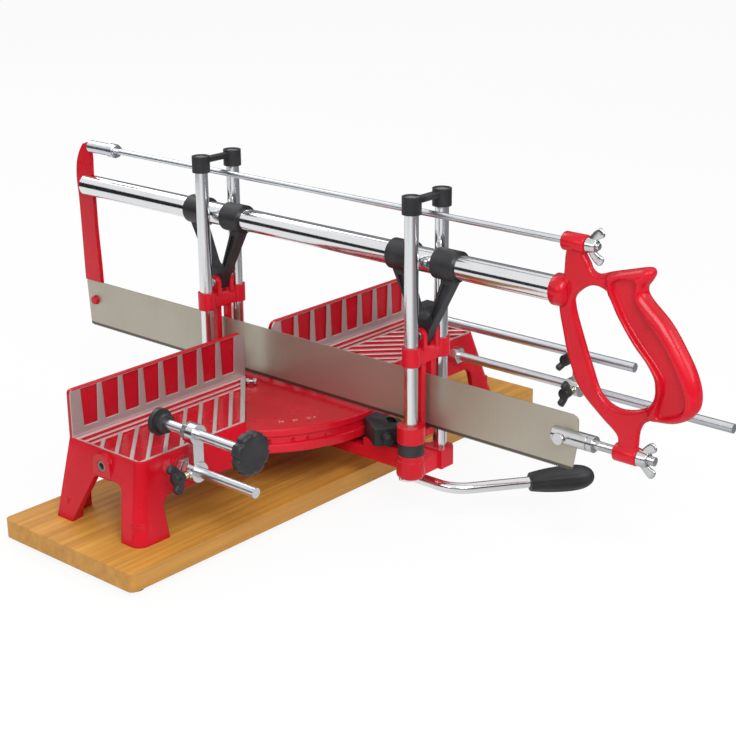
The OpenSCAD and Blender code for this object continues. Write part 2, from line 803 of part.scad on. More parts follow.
// Fluted grip with a round end
module lever_grip() {
  r = lever_grip_d / 2;
  color(black) translate([0, -brake_y, lever_z]) lever_end()
    translate([0, -lever_neck, 0]) rotate([90, 0, 0]) difference() {
      rotate_extrude() polygon(concat(
        [[lever_d / 2 + fit, 0]],
        arc([r - 2.5, 2.5], 2.5, -90, 0, 4),
        arc([r - 8, lever_grip_l - 8], 8, 0, 80, 6),
        [[0, lever_grip_l], [0, lever_grip_l - 10 + fit], [lever_d / 2 + fit, lever_grip_l - 10 + fit]]));
      for (a = [0:45:315]) rotate(a) translate([r + 1.6, 0, 5]) cylinder(d = 5, h = lever_grip_l - 18);
    }
}

// Slider on a pair of posts: two collars above the blade, one at its foot
module slider(pair) {
  foot_t = blade_z0 - foot_collar_z - 1.5;
  color(red) translate([0, pair[0][1], 0]) difference() {
    union() {
      both_sides() {
        translate([-post_x, 0, collar_z]) cylinder(d = collar_d, h = collar_h);
        translate([-strip_x1, -strip_w / 2, foot_collar_z]) cube([strip_x1 - strip_x0, strip_w, web_z1 - foot_collar_z]);
        translate([-ear_x1, 0, ear_z]) rotate([0, 90, 0]) cylinder(d = ear_w, h = ear_x1 - ear_x0);
        translate([-ear_x1, -ear_w / 2, web_z1 - 4]) cube([ear_x1 - ear_x0, ear_w, ear_z - web_z1 + 4]);
      }
      translate([-post_x, 0, foot_collar_z]) cylinder(d = foot_collar_d, h = foot_collar_h);
      translate([-post_x, -strip_w / 2, foot_collar_z]) cube([post_x + strip_x1, strip_w, foot_t]);
      translate([-post_x, -4, collar_z]) cube([2 * post_x, 8, collar_h - 2.5]);
    }
    both_sides() translate([-post_x, 0, foot_collar_z - 1]) cylinder(d = post_d + 2 * fit, h = ear_z);
    translate([-post_x, 0, ear_z]) rotate([0, 90, 0]) cylinder(d = ear_pin_d + 2 * fit, h = 2 * post_x);
  }
}

strip_x0 = 3.5;
strip_x1 = 8.5;
strip_w = 5;
ear_w = 11;
ear_x0 = wishbone_t / 2 + 0.3;
ear_x1 = ear_x0 + 4;
ear_pin_d = 5;

module rear_slider() slider(rear_posts);
module front_slider() slider(front_posts);

// Edges of a wishbone's leg, from the stem to the bush, as [across, height]
leg_outer = [[7, web_z1 + 11], [bush_y + bush_l / 2 - 0.5, tube_z - 7.5]];
leg_inner = [[6.5, web_z1 + 22], [bush_y - bush_l / 2 + 8, tube_z - 7.5]];

module leg_recess() {
  polygon([
    between(between(leg_outer[0], leg_inner[0], 0.3), between(leg_outer[1], leg_inner[1], 0.25), 0.12),
    between(between(leg_outer[0], leg_inner[0], 0.3), between(leg_outer[1], leg_inner[1], 0.25), 0.82),
    between(between(leg_outer[0], leg_inner[0], 0.7), between(leg_outer[1], leg_inner[1], 0.75), 0.82),
    between(between(leg_outer[0], leg_inner[0], 0.7), between(leg_outer[1], leg_inner[1], 0.75), 0.12)]);
}

// Forked bearing that carries the tube on both sides of the posts
module wishbone(pair) {
  color(black) translate([0, pair[0][1], 0]) difference() {
    union() {
      blade_plane(wishbone_t) for (s = [-1, 1]) scale_y(s)
        polygon([[0, web_z1 + 0.4], [3, web_z1 + 0.4], leg_outer[0], leg_outer[1], leg_inner[1],
                 leg_inner[0], leg_inner[0] - [1.3, 1.8], leg_inner[0] - [3.4, 3], [0, leg_inner[0][1] - 3.5]]);
      for (s = [-1, 1]) translate([0, s * bush_y, tube_z]) along_y(bush_d, -bush_l / 2, bush_l / 2);
    }
    for (s = [-1, 1]) translate([0, s * bush_y, tube_z])
      along_y(tube_d + 2 * fit, -bush_l / 2 - 1, bush_l / 2 + 1);
    for (x = [-wishbone_t / 2, wishbone_t / 2]) translate([x, 0, 0]) blade_plane(4)
      for (s = [-1, 1]) scale_y(s) leg_recess();
    translate([-wishbone_t, 0, ear_z]) rotate([0, 90, 0]) cylinder(d = ear_pin_d + 2 * fit, h = 2 * wishbone_t);
  }
}

// Mirror an outline in its first axis where s is -1
module scale_y(s) {
  if (s < 0) mirror([1, 0, 0]) children();
  else children();
}

module rear_wishbone() wishbone(rear_posts);
module front_wishbone() wishbone(front_posts);

module wishbone_pin(pair) {
  color(zinc) translate([-ear_x1 - 0.1, pair[0][1], ear_z]) rotate([0, 90, 0]) {
    cylinder(d = ear_pin_d, h = 2 * ear_x1 + 0.2);
    translate([0, 0, -1.6]) cylinder(d = ear_pin_d + 2.5, h = 1.6);
  }
}

module rear_wishbone_pin() wishbone_pin(rear_posts);
module front_wishbone_pin() wishbone_pin(front_posts);

// Backbone tube with a slot in its far end for the bracket
module saw_tube() {
  color(chrome) translate([0, 0, tube_z]) difference() {
    along_y(tube_d, -tube_far, -tube_near);
    along_y(tube_d - 2 * tube_wall, -tube_far - 1, -tube_near + 1);
    translate([-bracket_t / 2 - fit, bracket_y - 9.5, -tube_d]) cube([bracket_t + 2 * fit, 40, 2 * tube_d]);
  }
}

// Flat strip between the blade and the tension rod at the far end, in Y and Z
bracket_outline = [
  [bracket_y - 9, pin_z - 12], [bracket_y + 9, pin_z - 12], [bracket_y + 11, pin_z + 20],
  [bracket_y + 12, tube_z - 45], [bracket_y + 13, tube_z - 12], [bracket_y + 14.5, tube_z + 6],
  [bracket_y + 11.5, tube_z + 24], [bracket_y + 2, tension_z + 2], [bracket_y - 4, tension_z - 3],
  [bracket_y - 6.5, tension_z - 9], [bracket_y - 6, tube_z + 10], [bracket_y - 7, tube_z - 12],
  [bracket_y - 7.5, tube_z - 40], [bracket_y - 10, pin_z + 25]];

module far_bracket() {
  color(red) difference() {
    union() {
      blade_plane(bracket_t) polygon(loop_through(bracket_outline, 4));
      translate([-bracket_t / 2, bracket_y - 17, tension_z - tongue_h / 2]) cube([bracket_t, 15, tongue_h]);
    }
    translate([-bracket_t, bracket_y - 40, 0]) cube([bracket_t + blade_t / 2 + fit, 80, blade_z1 + 0.4]);
    translate([-bracket_t, bracket_y, pin_z]) rotate([0, 90, 0]) cylinder(d = far_pin_d + 2 * fit, h = 2 * bracket_t);
  }
}

far_pin_d = 6;
// Height of the bracket's tongue inside the tension barrel
tongue_h = 6.8;

module far_blade_pin() {
  color(red) translate([0, bracket_y, pin_z]) rotate([0, 90, 0]) {
    translate([0, 0, -blade_t / 2 - 3]) cylinder(d1 = far_pin_d + 1.5, d2 = far_pin_d + 3, h = 2.9);
    translate([0, 0, -blade_t / 2 - 0.2]) cylinder(d = far_pin_d, h = blade_t / 2 + bracket_t / 2 + 0.2);
  }
}

// A point of the handle: u in front of the blade's near end, v above the blade's pins
handle_k = tube_rise / 109.5;
function on_handle(u, v) = [handle_y - u, pin_z + v * handle_k];

// Outer outline of the whole handle
handle_outline = [
  on_handle(-16, 138), on_handle(-17, 121), on_handle(-20, 100), on_handle(-16, 81), on_handle(-10.5, 62),
  on_handle(0, 40), on_handle(18, 24), on_handle(32.5, 13), on_handle(35, 4), on_handle(48.5, 4),
  on_handle(51, 20), on_handle(58, 29), on_handle(80, 33), on_handle(93.5, 43), on_handle(96, 56),
  on_handle(91, 71.5), on_handle(81, 87.5), on_handle(69, 103), on_handle(53, 117), on_handle(50, 123.5),
  on_handle(53.5, 129.5), on_handle(55.5, 135), on_handle(51.5, 139), on_handle(38, 135.5), on_handle(23, 131),
  on_handle(13, 127.5), on_handle(7, 129), on_handle(4, 134), on_handle(0.7, 139), on_handle(-3, 146),
  on_handle(-12, 146)];

// Outline of the finger opening
opening_outline = [
  on_handle(-6, 108), on_handle(-6.5, 99), on_handle(-0.5, 82), on_handle(9.5, 58), on_handle(18.5, 40),
  on_handle(33, 33), on_handle(51, 36.5), on_handle(60.5, 45.5), on_handle(62, 57), on_handle(56, 69.5),
  on_handle(43, 83), on_handle(30, 100), on_handle(20, 115), on_handle(6, 117.5)];

// Outline of the thick grip, round the finger opening's back edge
grip_outline = [
  on_handle(20, 129.5), on_handle(38, 135.5), on_handle(51.5, 139), on_handle(55.5, 135), on_handle(53.5, 129.5),
  on_handle(50, 123.5), on_handle(53, 117), on_handle(69, 103), on_handle(81, 87.5), on_handle(91, 71.5),
  on_handle(96, 56), on_handle(93.5, 43), on_handle(80, 33), on_handle(60, 30.5), on_handle(57, 40),
  on_handle(62, 57), on_handle(56, 69.5), on_handle(43, 83), on_handle(30, 100), on_handle(20.5, 116)];

// Outline of the sunk field in each side of the grip
field_outline = [
  on_handle(26, 124), on_handle(44, 129), on_handle(44, 118), on_handle(51, 108), on_handle(66, 93),
  on_handle(78, 76), on_handle(87, 58), on_handle(87.5, 46), on_handle(81, 39.5), on_handle(67, 37),
  on_handle(70, 58), on_handle(63, 70.5), on_handle(49, 85), on_handle(35.5, 102)];

// Layers of the grip's round edge, as [half thickness, inset]
grip_layers = [[0.62, 0], [0.8, 0.9], [0.92, 2.2], [1, 4]];

module saw_handle() {
  color(red) difference() {
    union() {
      blade_plane(frame_t) difference() {
        polygon(loop_through(handle_outline, 4));
        polygon(loop_through(opening_outline, 4));
      }
      for (layer = grip_layers) blade_plane(grip_t * layer[0])
        offset(delta = -layer[1]) polygon(loop_through(grip_outline, 4));
      translate([0, 0, tension_z]) along_y(lug_d, -upper_lug_y[1], -upper_lug_y[0]);
      translate([0, 0, pin_z]) along_y(lug_d, -lower_lug_y[1], -lower_lug_y[0]);
      translate([0, -tube_front_y, tube_z]) rotate([-90, 0, 0]) rotate_extrude()
        polygon(concat([[0, 0], [tube_boss_d / 2 - 6, 0]],
                       arc([tube_boss_d / 2 - 6, 6], 6, -80, 0, 5),
                       arc([tube_boss_d / 2 - 1.5, tube_boss_l - 1.5], 1.5, 0, 80, 3),
                       [[0, tube_boss_l]]));
    }
    for (s = [-1, 1]) translate([s * (grip_t + field_web) / 2, 0, 0]) blade_plane(grip_t)
      polygon(loop_through(field_outline, 4));
    translate([0, 0, tube_z]) along_y(tube_d + 2 * fit, -tube_near - 40, -tube_near + fit);
    translate([0, 0, tension_z]) along_y(tension_d + 2 * fit, -upper_lug_y[1] - 1, -upper_lug_y[0] + 1);
    translate([0, 0, pin_z]) along_y(stud_d + 2 * fit, -lower_lug_y[1] - 1, -lower_lug_y[0] + 1);
  }
}

field_web = 8;
lug_d = 13.6;
tube_boss_d = 23.5;
tube_boss_l = 13;
tube_front_y = -(tube_near - 5);
stud_d = 7;
washer_gap = 0.3;

// Thin rod that tensions the frame, threaded into the barrel
module tension_rod() {
  color(chrome) translate([0, 0, tension_z]) along_y(tension_d, -bracket_y + 24, -upper_lug_y[0] + 10);
}

module tension_barrel() {
  color(zinc) translate([0, 0, tension_z]) difference() {
    union() {
      along_y(barrel_d, -bracket_y + 7, -bracket_y + 43);
      along_y(barrel_d + 1.4, -bracket_y + 34, -bracket_y + 41);
    }
    along_y(tension_d + 2 * fit, -bracket_y + 23.8, -bracket_y + 45);
    translate([-bracket_t / 2 - fit, bracket_y - 18, -tongue_h / 2 - fit])
      cube([bracket_t + 2 * fit, 30, tongue_h + 2 * fit]);
  }
}

barrel_d = 11;

// Blade with a row of teeth and a bulged near end, in Y and Z
module saw_blade() {
  count = floor((blade_l - 12) / tooth_pitch);
  first = blade_near + 6;
  teeth = [for (i = [0:count - 1]) each [
    [first + i * tooth_pitch, blade_z0 + tooth_h], [first + (i + 0.65) * tooth_pitch, blade_z0]]];
  color(steel) difference() {
    blade_plane(blade_t) polygon(concat(
      [[blade_near + 4, blade_z0 + tooth_h]],
      teeth,
      [[blade_far - 3, blade_z0 + tooth_h], [blade_far, blade_z1 - 1], [blade_far - 1.5, blade_z1],
       [blade_near + 5, blade_z1]],
      arc([blade_near + 4.2, blade_z1 - 4.5], 4, 95, 170, 4),
      [[blade_near, pin_z]]));
    for (p = [bracket_y, clevis_pin_y]) translate([-2, p, pin_z]) rotate([0, 90, 0]) cylinder(d = far_pin_d + 2 * fit, h = 4);
  }
}

clevis_pin_y = blade_near + 12.5;
clevis_d = 12.5;

// Fork on the blade's near end, drawn tight by the stud
module blade_clevis() {
  color(zinc) translate([0, 0, pin_z]) difference() {
    union() {
      along_y(clevis_d, -blade_near - 20.5, -blade_near + 9);
      along_y(clevis_d - 1.2, -blade_near + 8, -blade_near + 11);
      along_y(clevis_d, -blade_near + 10, -blade_near + 14.5);
    }
    translate([-blade_t / 2 - fit, blade_near - 6, -clevis_d]) cube([blade_t + 2 * fit, 40, 2 * clevis_d]);
    translate([-clevis_d, clevis_pin_y, 0]) rotate([0, 90, 0]) cylinder(d = far_pin_d + 2 * fit, h = 2 * clevis_d);
    along_y(stud_d + 2 * fit, -blade_near + 8, -blade_near + 22);
  }
}

module blade_pin() {
  color(zinc) translate([0, clevis_pin_y, pin_z]) rotate([0, 90, 0]) {
    translate([0, 0, -clevis_d / 2 - 1]) cylinder(d = far_pin_d, h = clevis_d + 2);
    translate([0, 0, -clevis_d / 2 - 3]) cylinder(d = far_pin_d + 3, h = 2);
  }
}

module blade_stud() {
  color(zinc) translate([0, 0, pin_z]) along_y(stud_d, -blade_near + 8.3, -lower_lug_y[0] + 13.5);
}

// Wing nut whose seat faces +Y at y = 0, bored for a stud of diameter d
module wing_nut(d) {
  color(zinc) difference() {
    union() {
      rotate([90, 0, 0]) cylinder(d1 = d + 6, d2 = d + 3.5, h = 8);
      blade_plane(3) for (s = [-1, 1]) rotate(90) scale_y(s) mirror([0, 1, 0])
        polygon(concat([[d / 2 + 0.6, -6.5], [d / 2 + 0.6, -1]],
                       arc([10, -11], 3.2, 60, -110, 8)));
    }
    along_y(d + 2 * fit, -1, 16);
  }
}

module tension_wing_nut() {
  translate([0, upper_lug_y[0] - washer_gap, tension_z]) wing_nut(tension_d);
}

module blade_wing_nut() {
  translate([0, lower_lug_y[0] - washer_gap, pin_z]) wing_nut(stud_d);
}

// Strap with two eyes and two hexagon nuts that joins an upper rod to a support rod, centred on the support rod
module holder(y, screw_heights) {
  nut_l = collar_l - strap_l;
  color(zinc) difference() {
    union() {
      for (z = [0, rod_gap]) translate([0, 0, z]) {
        hex_along_y(13, y, y + nut_l + 0.5);
        along_y(holder_d, y + nut_l, y + collar_l);
      }
      translate([-5, -y - collar_l + 0.8, 0]) cube([10, strap_l - 1.6, rod_gap]);
      for (z = screw_heights) translate([-holder_boss_l, -y - nut_l - strap_l / 2, z]) rotate([0, 90, 0])
        cylinder(d = holder_boss_d, h = holder_boss_l);
    }
    for (z = [0, rod_gap]) translate([0, 0, z]) along_y(rod_d + 2 * fit, y - 1, y + collar_l + 1);
    for (z = screw_heights) translate([-holder_boss_l - 1, -y - nut_l - strap_l / 2, z]) rotate([0, 90, 0])
      cylinder(d = lock_d + 2 * fit, h = holder_boss_l);
  }
}

holder_d = 16;
strap_l = 7.4;
holder_boss_l = 10;
holder_boss_d = 6.8;
lock_d = 5;
lock_hub = 14.4;

// Wing screw along -X whose tip meets a rod on the axis, turned by an angle
module lock_screw(turn) {
  tip = rod_d / 2 + 0.2;
  color(black) rotate([turn, 0, 0]) rotate([0, -90, 0]) {
    translate([0, 0, tip]) cylinder(d = lock_d, h = lock_hub + 4 - tip);
    translate([0, 0, lock_hub]) cylinder(d1 = 9, d2 = 10, h = 9);
    for (s = [0, 180]) rotate(s) translate([0, 2.2, 0]) rotate([90, 0, 0]) linear_extrude(4.4)
      polygon(concat([[3, lock_hub + 1.6], [5, lock_hub + 2.1]],
                     arc([8.5, lock_hub + 8.6], 3, -50, 140, 8),
                     [[3, lock_hub + 8.6]]));
  }
}

// Distance of a lock screw's axis in front of its holder's back
lock_at = collar_l - strap_l / 2;

module clamp_holder() {
  translate([-clamp_x, 0, rod_z]) holder(clamp_collar_y, [0]);
}

module clamp_lock_screw() {
  translate([-clamp_x, -clamp_collar_y - lock_at, rod_z]) lock_screw(-25);
}

// Round pressure pad with a hub that turns on the spindle's end
module clamp_pad() {
  color(black) translate([-clamp_x, 0, upper_z]) difference() {
    union() {
      along_y(21, clamp_pad_y, clamp_pad_y + pad_t);
      along_y(15, clamp_pad_y + pad_t, clamp_pad_y + pad_t + pad_hub_l);
    }
    along_y(rod_d + 2 * fit, clamp_pad_y + pad_t, clamp_pad_y + pad_t + pad_hub_l + 1);
    along_y(16, clamp_pad_y - 1, clamp_pad_y + 1);
  }
}

module clamp_spindle() {
  color(chrome) translate([-clamp_x, 0, upper_z]) along_y(rod_d, clamp_pad_y + pad_t + 0.1, clamp_knob_y + knob_l - 6);
}

// Lobed knob with a raised rim round its face
module clamp_knob() {
  color(black) translate([-clamp_x, 0, upper_z]) difference() {
    union() {
      along_y(knob_d, clamp_knob_y + knob_hub, clamp_knob_y + knob_l);
      along_y(knob_d - 14, clamp_knob_y, clamp_knob_y + knob_hub);
    }
    for (a = [22.5:45:360]) rotate([0, a, 0]) translate([knob_d / 2 + 2.5, 0, 0])
      along_y(9, clamp_knob_y + knob_hub - 1, clamp_knob_y + knob_l + 1);
    difference() {
      along_y(knob_d - 8, clamp_knob_y + knob_l - 1.2, clamp_knob_y + knob_l + 1);
      along_y(knob_d - 13, clamp_knob_y + knob_l - 2, clamp_knob_y + knob_l + 2);
    }
    along_y(rod_d + 2 * fit, clamp_knob_y - 1, clamp_knob_y + knob_l - 5.9);
  }
}

module stop_holder() {
  translate([stop_x, 0, rod_z]) holder(stop_collar_y, [0, rod_gap]);
}

module stop_lower_screw() {
  translate([stop_x, -stop_collar_y - lock_at, rod_z]) lock_screw(10);
}

module stop_upper_screw() {
  translate([stop_x, -stop_collar_y - lock_at, upper_z]) lock_screw(35);
}

module stop_rod() {
  color(chrome) translate([stop_x, 0, upper_z]) along_y(rod_d, stop_rod_y, stop_rod_y + stop_rod_l);
}

// Square pad on the end of the stop rod
module stop_pad() {
  color(black) translate([stop_x, 0, upper_z]) difference() {
    translate([-11, -stop_rod_y - 4, -11]) cube([22, stop_pad_l, 22]);
    along_y(rod_d + 2 * fit, stop_rod_y - 0.1, stop_rod_y + 5);
  }
}

base_board();
rubber_feet();
board_screws();
left_table();
right_table();
sector();
socket_inserts();
pivot_bolt();
pivot_washer();
mitre_stop_screw();
clamp_support_rod();
clamp_rod_nut();
stop_support_rod();
stop_rod_nut();
swing_arm();
front_left_post();
front_right_post();
rear_left_post();
rear_right_post();
front_post_bridge();
rear_post_bridge();
depth_stop_ring();
depth_stop_screw();
index_block();
index_bush();
index_spring();
index_plunger();
brake_shoe();
clamp_screw();
lever_rod();
lever_grip();
rear_slider();
rear_wishbone();
rear_wishbone_pin();
front_slider();
front_wishbone();
front_wishbone_pin();
saw_tube();
far_bracket();
far_blade_pin();
saw_handle();
tension_rod();
tension_barrel();
saw_blade();
blade_clevis();
blade_pin();
blade_stud();
tension_wing_nut();
blade_wing_nut();
clamp_holder();
clamp_lock_screw();
clamp_pad();
clamp_spindle();
clamp_knob();
stop_holder();
stop_lower_screw();
stop_upper_screw();
stop_rod();
stop_pad();
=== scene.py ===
# %% [markdown]
# # A manual mitre saw
# The part comes from CAD with its sizes and joints settled. This lesson dresses it: it gives every solid
# a finish that reads like the real material, and swaps the pieces that a hand feels, such as the cast
# handle, the knob, the wing nuts and the grip, for smooth surfaces worked out with numpy. Lengths are in
# metres, +X runs along the board, -Y points at the person sawing, and +Z is up.

# %% Load the frame
import json
import math

import bmesh
import bpy
import numpy as np
from mathutils import Matrix, Vector


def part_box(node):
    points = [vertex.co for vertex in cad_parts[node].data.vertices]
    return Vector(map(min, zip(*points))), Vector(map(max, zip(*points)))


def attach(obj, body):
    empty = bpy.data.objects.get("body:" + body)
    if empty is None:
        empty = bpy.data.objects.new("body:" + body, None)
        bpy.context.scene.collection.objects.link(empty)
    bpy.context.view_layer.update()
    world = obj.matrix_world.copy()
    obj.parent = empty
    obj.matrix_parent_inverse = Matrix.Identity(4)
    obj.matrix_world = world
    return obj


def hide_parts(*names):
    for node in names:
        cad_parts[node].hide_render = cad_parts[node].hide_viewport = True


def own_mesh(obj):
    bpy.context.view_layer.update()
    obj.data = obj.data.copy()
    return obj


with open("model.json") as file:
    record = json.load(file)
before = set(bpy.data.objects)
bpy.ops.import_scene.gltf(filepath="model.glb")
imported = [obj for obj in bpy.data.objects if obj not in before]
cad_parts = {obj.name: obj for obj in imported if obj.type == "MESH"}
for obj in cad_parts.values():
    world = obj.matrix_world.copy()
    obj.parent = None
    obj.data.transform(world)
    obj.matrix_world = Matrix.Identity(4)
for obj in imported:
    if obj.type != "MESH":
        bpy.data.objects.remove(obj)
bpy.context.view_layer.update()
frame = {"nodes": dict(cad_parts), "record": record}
nodes = frame["nodes"]
MM = 0.001

# %% [markdown]
# ## Writing shader maths as formulas
# A finish is a small program. Blender draws it as boxes and wires, which could be clicked together by
# hand, but a formula is easier to read and to change. `Wire` wraps one socket, so that `1 - mask * 0.3`
# adds the Math nodes by itself. `Graph` owns one tree, and its `node` method makes every other node:
# settings first, then the values or wires of its inputs. `Finish` is the graph of one material.

# %% Sockets that can be added and multiplied
class Wire:
    """One output socket of a material, usable in arithmetic."""

    def __init__(self, tree, socket):
        self.tree = tree
        self.socket = socket

    def _math(self, operation, first, second):
        box = self.tree.nodes.new("ShaderNodeMath")
        box.operation = operation
        for socket, value in zip(box.inputs, (first, second)):
            join(self.tree, value, socket)
        return Wire(self.tree, box.outputs[0])

    def __add__(self, other):
        return self._math("ADD", self, other)

    def __sub__(self, other):
        return self._math("SUBTRACT", self, other)

    def __mul__(self, other):
        return self._math("MULTIPLY", self, other)

    def __rsub__(self, other):
        return self._math("SUBTRACT", other, self)

    def __pow__(self, other):
        return self._math("POWER", self, other)

    def __abs__(self):
        return self._math("ABSOLUTE", self, 0.0)

    def largest(self, other):
        return self._math("MAXIMUM", self, other)

    def modulo(self, other):
        return self._math("FLOORED_MODULO", self, other)

    __radd__ = __add__
    __rmul__ = __mul__


def join(tree, value, socket):
    """Link a wire to an input, or write a plain value on it."""
    if isinstance(value, Wire):
        tree.links.new(value.socket, socket)
    else:
        socket.default_value = value


class Graph:
    """A tree of nodes, and the one method that adds a node to it."""

    def __init__(self, tree):
        self.tree = tree

    def node(self, kind, settings=None, inputs=None, output=0):
        """Add a node, set it up, fill its inputs, and return one output, or all of them for None."""
        box = self.tree.nodes.new(kind)
        for key, value in (settings or {}).items():
            setattr(box, key, value)
        for key, value in (inputs or {}).items():
            join(self.tree, value, box.inputs[key])
        if output is None:
            return [Wire(self.tree, out) for out in box.outputs]
        return Wire(self.tree, box.outputs[output])

    def ray(self, kind):
        """1 for rays of one kind, such as Camera or Glossy, and 0 for the rest."""
        return self.node("ShaderNodeLightPath", output="Is " + kind + " Ray")


class Finish(Graph):
    """One material with a Principled shader, and short words for the nodes that feed it."""

    def __init__(self, name):
        self.material = bpy.data.materials.new(name)
        self.material.use_nodes = True
        super().__init__(self.material.node_tree)
        self.shader = self.tree.nodes["Principled BSDF"]

    def place(self):
        """Object coordinates: the same as the frame's, because every object sits at the origin."""
        return self.node("ShaderNodeTexCoord", output="Object")

    def xyz(self, vector):
        """The three parts of a vector, each as a number."""
        return self.node("ShaderNodeSeparateXYZ", inputs={0: vector}, output=None)

    def stretch(self, vector, scale):
        """Coordinates times a scale per axis: a small scale draws a pattern out along that axis."""
        return self.node("ShaderNodeMapping", inputs={"Vector": vector, "Scale": scale})

    def noise(self, vector, scale, detail=3.0, rough=0.5):
        """Cloudy noise between 0 and 1: scale is the number of clouds to each unit of the coordinates."""
        return self.node("ShaderNodeTexNoise", inputs={
            "Vector": vector, "Scale": scale, "Detail": detail, "Roughness": rough})

    def ramp(self, value, low, high):
        """A smooth step from 0 at low to 1 at high."""
        return self.node("ShaderNodeMapRange", {"interpolation_type": "SMOOTHSTEP"}, {
            "Value": value, "From Min": low, "From Max": high})

    def window(self, value, low, high, soft):
        """1 between low and high, 0 outside, with soft edges."""
        return self.ramp(value, low - soft, low + soft) * (1 - self.ramp(value, high - soft, high + soft))

    def blend(self, factor, first, second):
        """Mix two colours by a wire or a number."""
        return self.node("ShaderNodeMix", {"data_type": "RGBA"}, {0: factor, 6: first, 7: second}, output=2)

    def set(self, **values):
        """Plain numbers and colours go straight on the shader's own sockets."""
        for key, value in values.items():
            self.shader.inputs[key.replace("_", " ").title().replace("Ior", "IOR")].default_value = value

    def feed(self, **wires):
        """What changes over the surface goes into the shader as wires."""
        for key, wire in wires.items():
            join(self.tree, wire, self.shader.inputs[key.replace("_", " ").title()])

    def relief(self, height, distance, strength=1.0, edge=0.0008):
        """Bump from a height, on edges that a bevel of the given radius rounds off."""
        inputs = {"Height": height, "Distance": distance, "Strength": strength}
        if edge:
            inputs["Normal"] = self.node("ShaderNodeBevel", {"samples": 6}, {"Radius": edge})
        self.feed(normal=self.node("ShaderNodeBump", inputs=inputs))


print("shader words ready")

# %% [markdown]
# ## Surfaces from arrays
# The cast and moulded pieces are smooth. They could be pushed into shape by hand from a subdivided box,
# but a surface that is a function of two parameters keeps its real sizes and is quick to change. `skin`
# takes the points of such a grid as one array and returns the corners and faces, and `piece` turns one or
# more skins into a Blender object. Poles and seams are closed by merging doubled points, and the faces
# are turned outwards once.

# %% Grid of points to mesh
def skin(points, wrap_u=False, wrap_v=True):
    """Corners and quads of a grid of points [u, v, xyz]; where u or v wraps, it joins its own start."""
    count_u, count_v = points.shape[:2]
    index = np.arange(count_u * count_v).reshape(count_u, count_v)
    if wrap_u:
        index = np.vstack([index, index[:1]])
    if wrap_v:
        index = np.hstack([index, index[:, :1]])
    quads = np.stack([index[:-1, :-1], index[1:, :-1], index[1:, 1:], index[:-1, 1:]], -1).reshape(-1, 4)
    return points.reshape(-1, 3), quads


SAME_POINT = 2e-6
NO_LENGTH = 1e-6


def piece(name, skins, material, body, replaces=(), crease=35):
    """One object from several skins in millimetres, riding on a body of the frame."""
    corners, faces, first = [], [], 0
    for points, quads in skins:
        corners.append(points * MM)
        faces.extend((quads + first).tolist())
        first += len(points)
    mesh = bpy.data.meshes.new(name)
    mesh.from_pydata(np.concatenate(corners).tolist(), [], faces)
    work = bmesh.new()
    work.from_mesh(mesh)
    bmesh.ops.remove_doubles(work, verts=work.verts, dist=SAME_POINT)
    bmesh.ops.dissolve_degenerate(work, edges=work.edges, dist=NO_LENGTH)
    bmesh.ops.recalc_face_normals(work, faces=work.faces)
    work.to_mesh(mesh)
    work.free()
    mesh.shade_smooth()
    mesh.set_sharp_from_angle(angle=math.radians(crease))
    mesh.materials.append(material)
    made = bpy.data.objects.new(name, mesh)
    bpy.context.scene.collection.objects.link(made)
    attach(made, body)
    if replaces:
        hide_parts(*replaces)
    print(name, len(mesh.polygons), "faces on", body)
    return made


# %% Turned and carried shapes
def turned(profile, origin, axis, steps=48, lobes=None, ring=False):
    """A profile of [distance along the axis, radius] turned about an axis through origin.
    lobes(angle, along, radius) may scale the radius; a ring closes its profile on itself."""
    profile = np.asarray(profile, float)
    axis = np.asarray(axis, float) / np.linalg.norm(axis)
    side = np.cross(axis, [0.0, 0.0, 1.0] if abs(axis[2]) < 0.9 else [1.0, 0.0, 0.0])
    side /= np.linalg.norm(side)
    other = np.cross(axis, side)
    angle = np.linspace(0, 2 * np.pi, steps, endpoint=False)
    radius = profile[:, 1:2] * np.ones(steps)
    if lobes is not None:
        radius = radius * lobes(angle[None, :], profile[:, :1], profile[:, 1:2])
    rim = np.cos(angle)[:, None] * side + np.sin(angle)[:, None] * other
    points = np.asarray(origin, float) + profile[:, None, :1] * axis + radius[..., None] * rim[None]
    return skin(points, wrap_u=ring)


def carried(path, wide, thick, side, square=0.6, steps=28):
    """An oval of half sizes wide and thick carried along a path; side is the direction of its width.
    square below 1 makes the oval boxy."""
    path = np.asarray(path, float)
    along = np.gradient(path, axis=0)
    along /= np.linalg.norm(along, axis=1, keepdims=True)
    side = np.broadcast_to(np.asarray(side, float), path.shape)
    side = side - (side * along).sum(1, keepdims=True) * along
    side /= np.linalg.norm(side, axis=1, keepdims=True)
    across = np.cross(along, side)
    angle = np.linspace(0, 2 * np.pi, steps, endpoint=False)
    u = np.sign(np.cos(angle)) * np.abs(np.cos(angle)) ** square
    v = np.sign(np.sin(angle)) * np.abs(np.sin(angle)) ** square
    wide = np.asarray(wide, float)[:, None, None]
    thick = np.asarray(thick, float)[:, None, None]
    across_width = wide * u[None, :, None] * side[:, None]
    across_thickness = thick * v[None, :, None] * across[:, None]
    return skin(path[:, None] + across_width + across_thickness)


def cubic(a, b, c, d, t):
    """The Catmull-Rom curve from b to c, whose neighbours are a and d: a cubic in t from 0 to 1."""
    bend = 2 * a - 5 * b + 4 * c - d
    twist = 3 * b - a - 3 * c + d
    return 0.5 * (2 * b + (c - a) * t + bend * t**2 + twist * t**3)


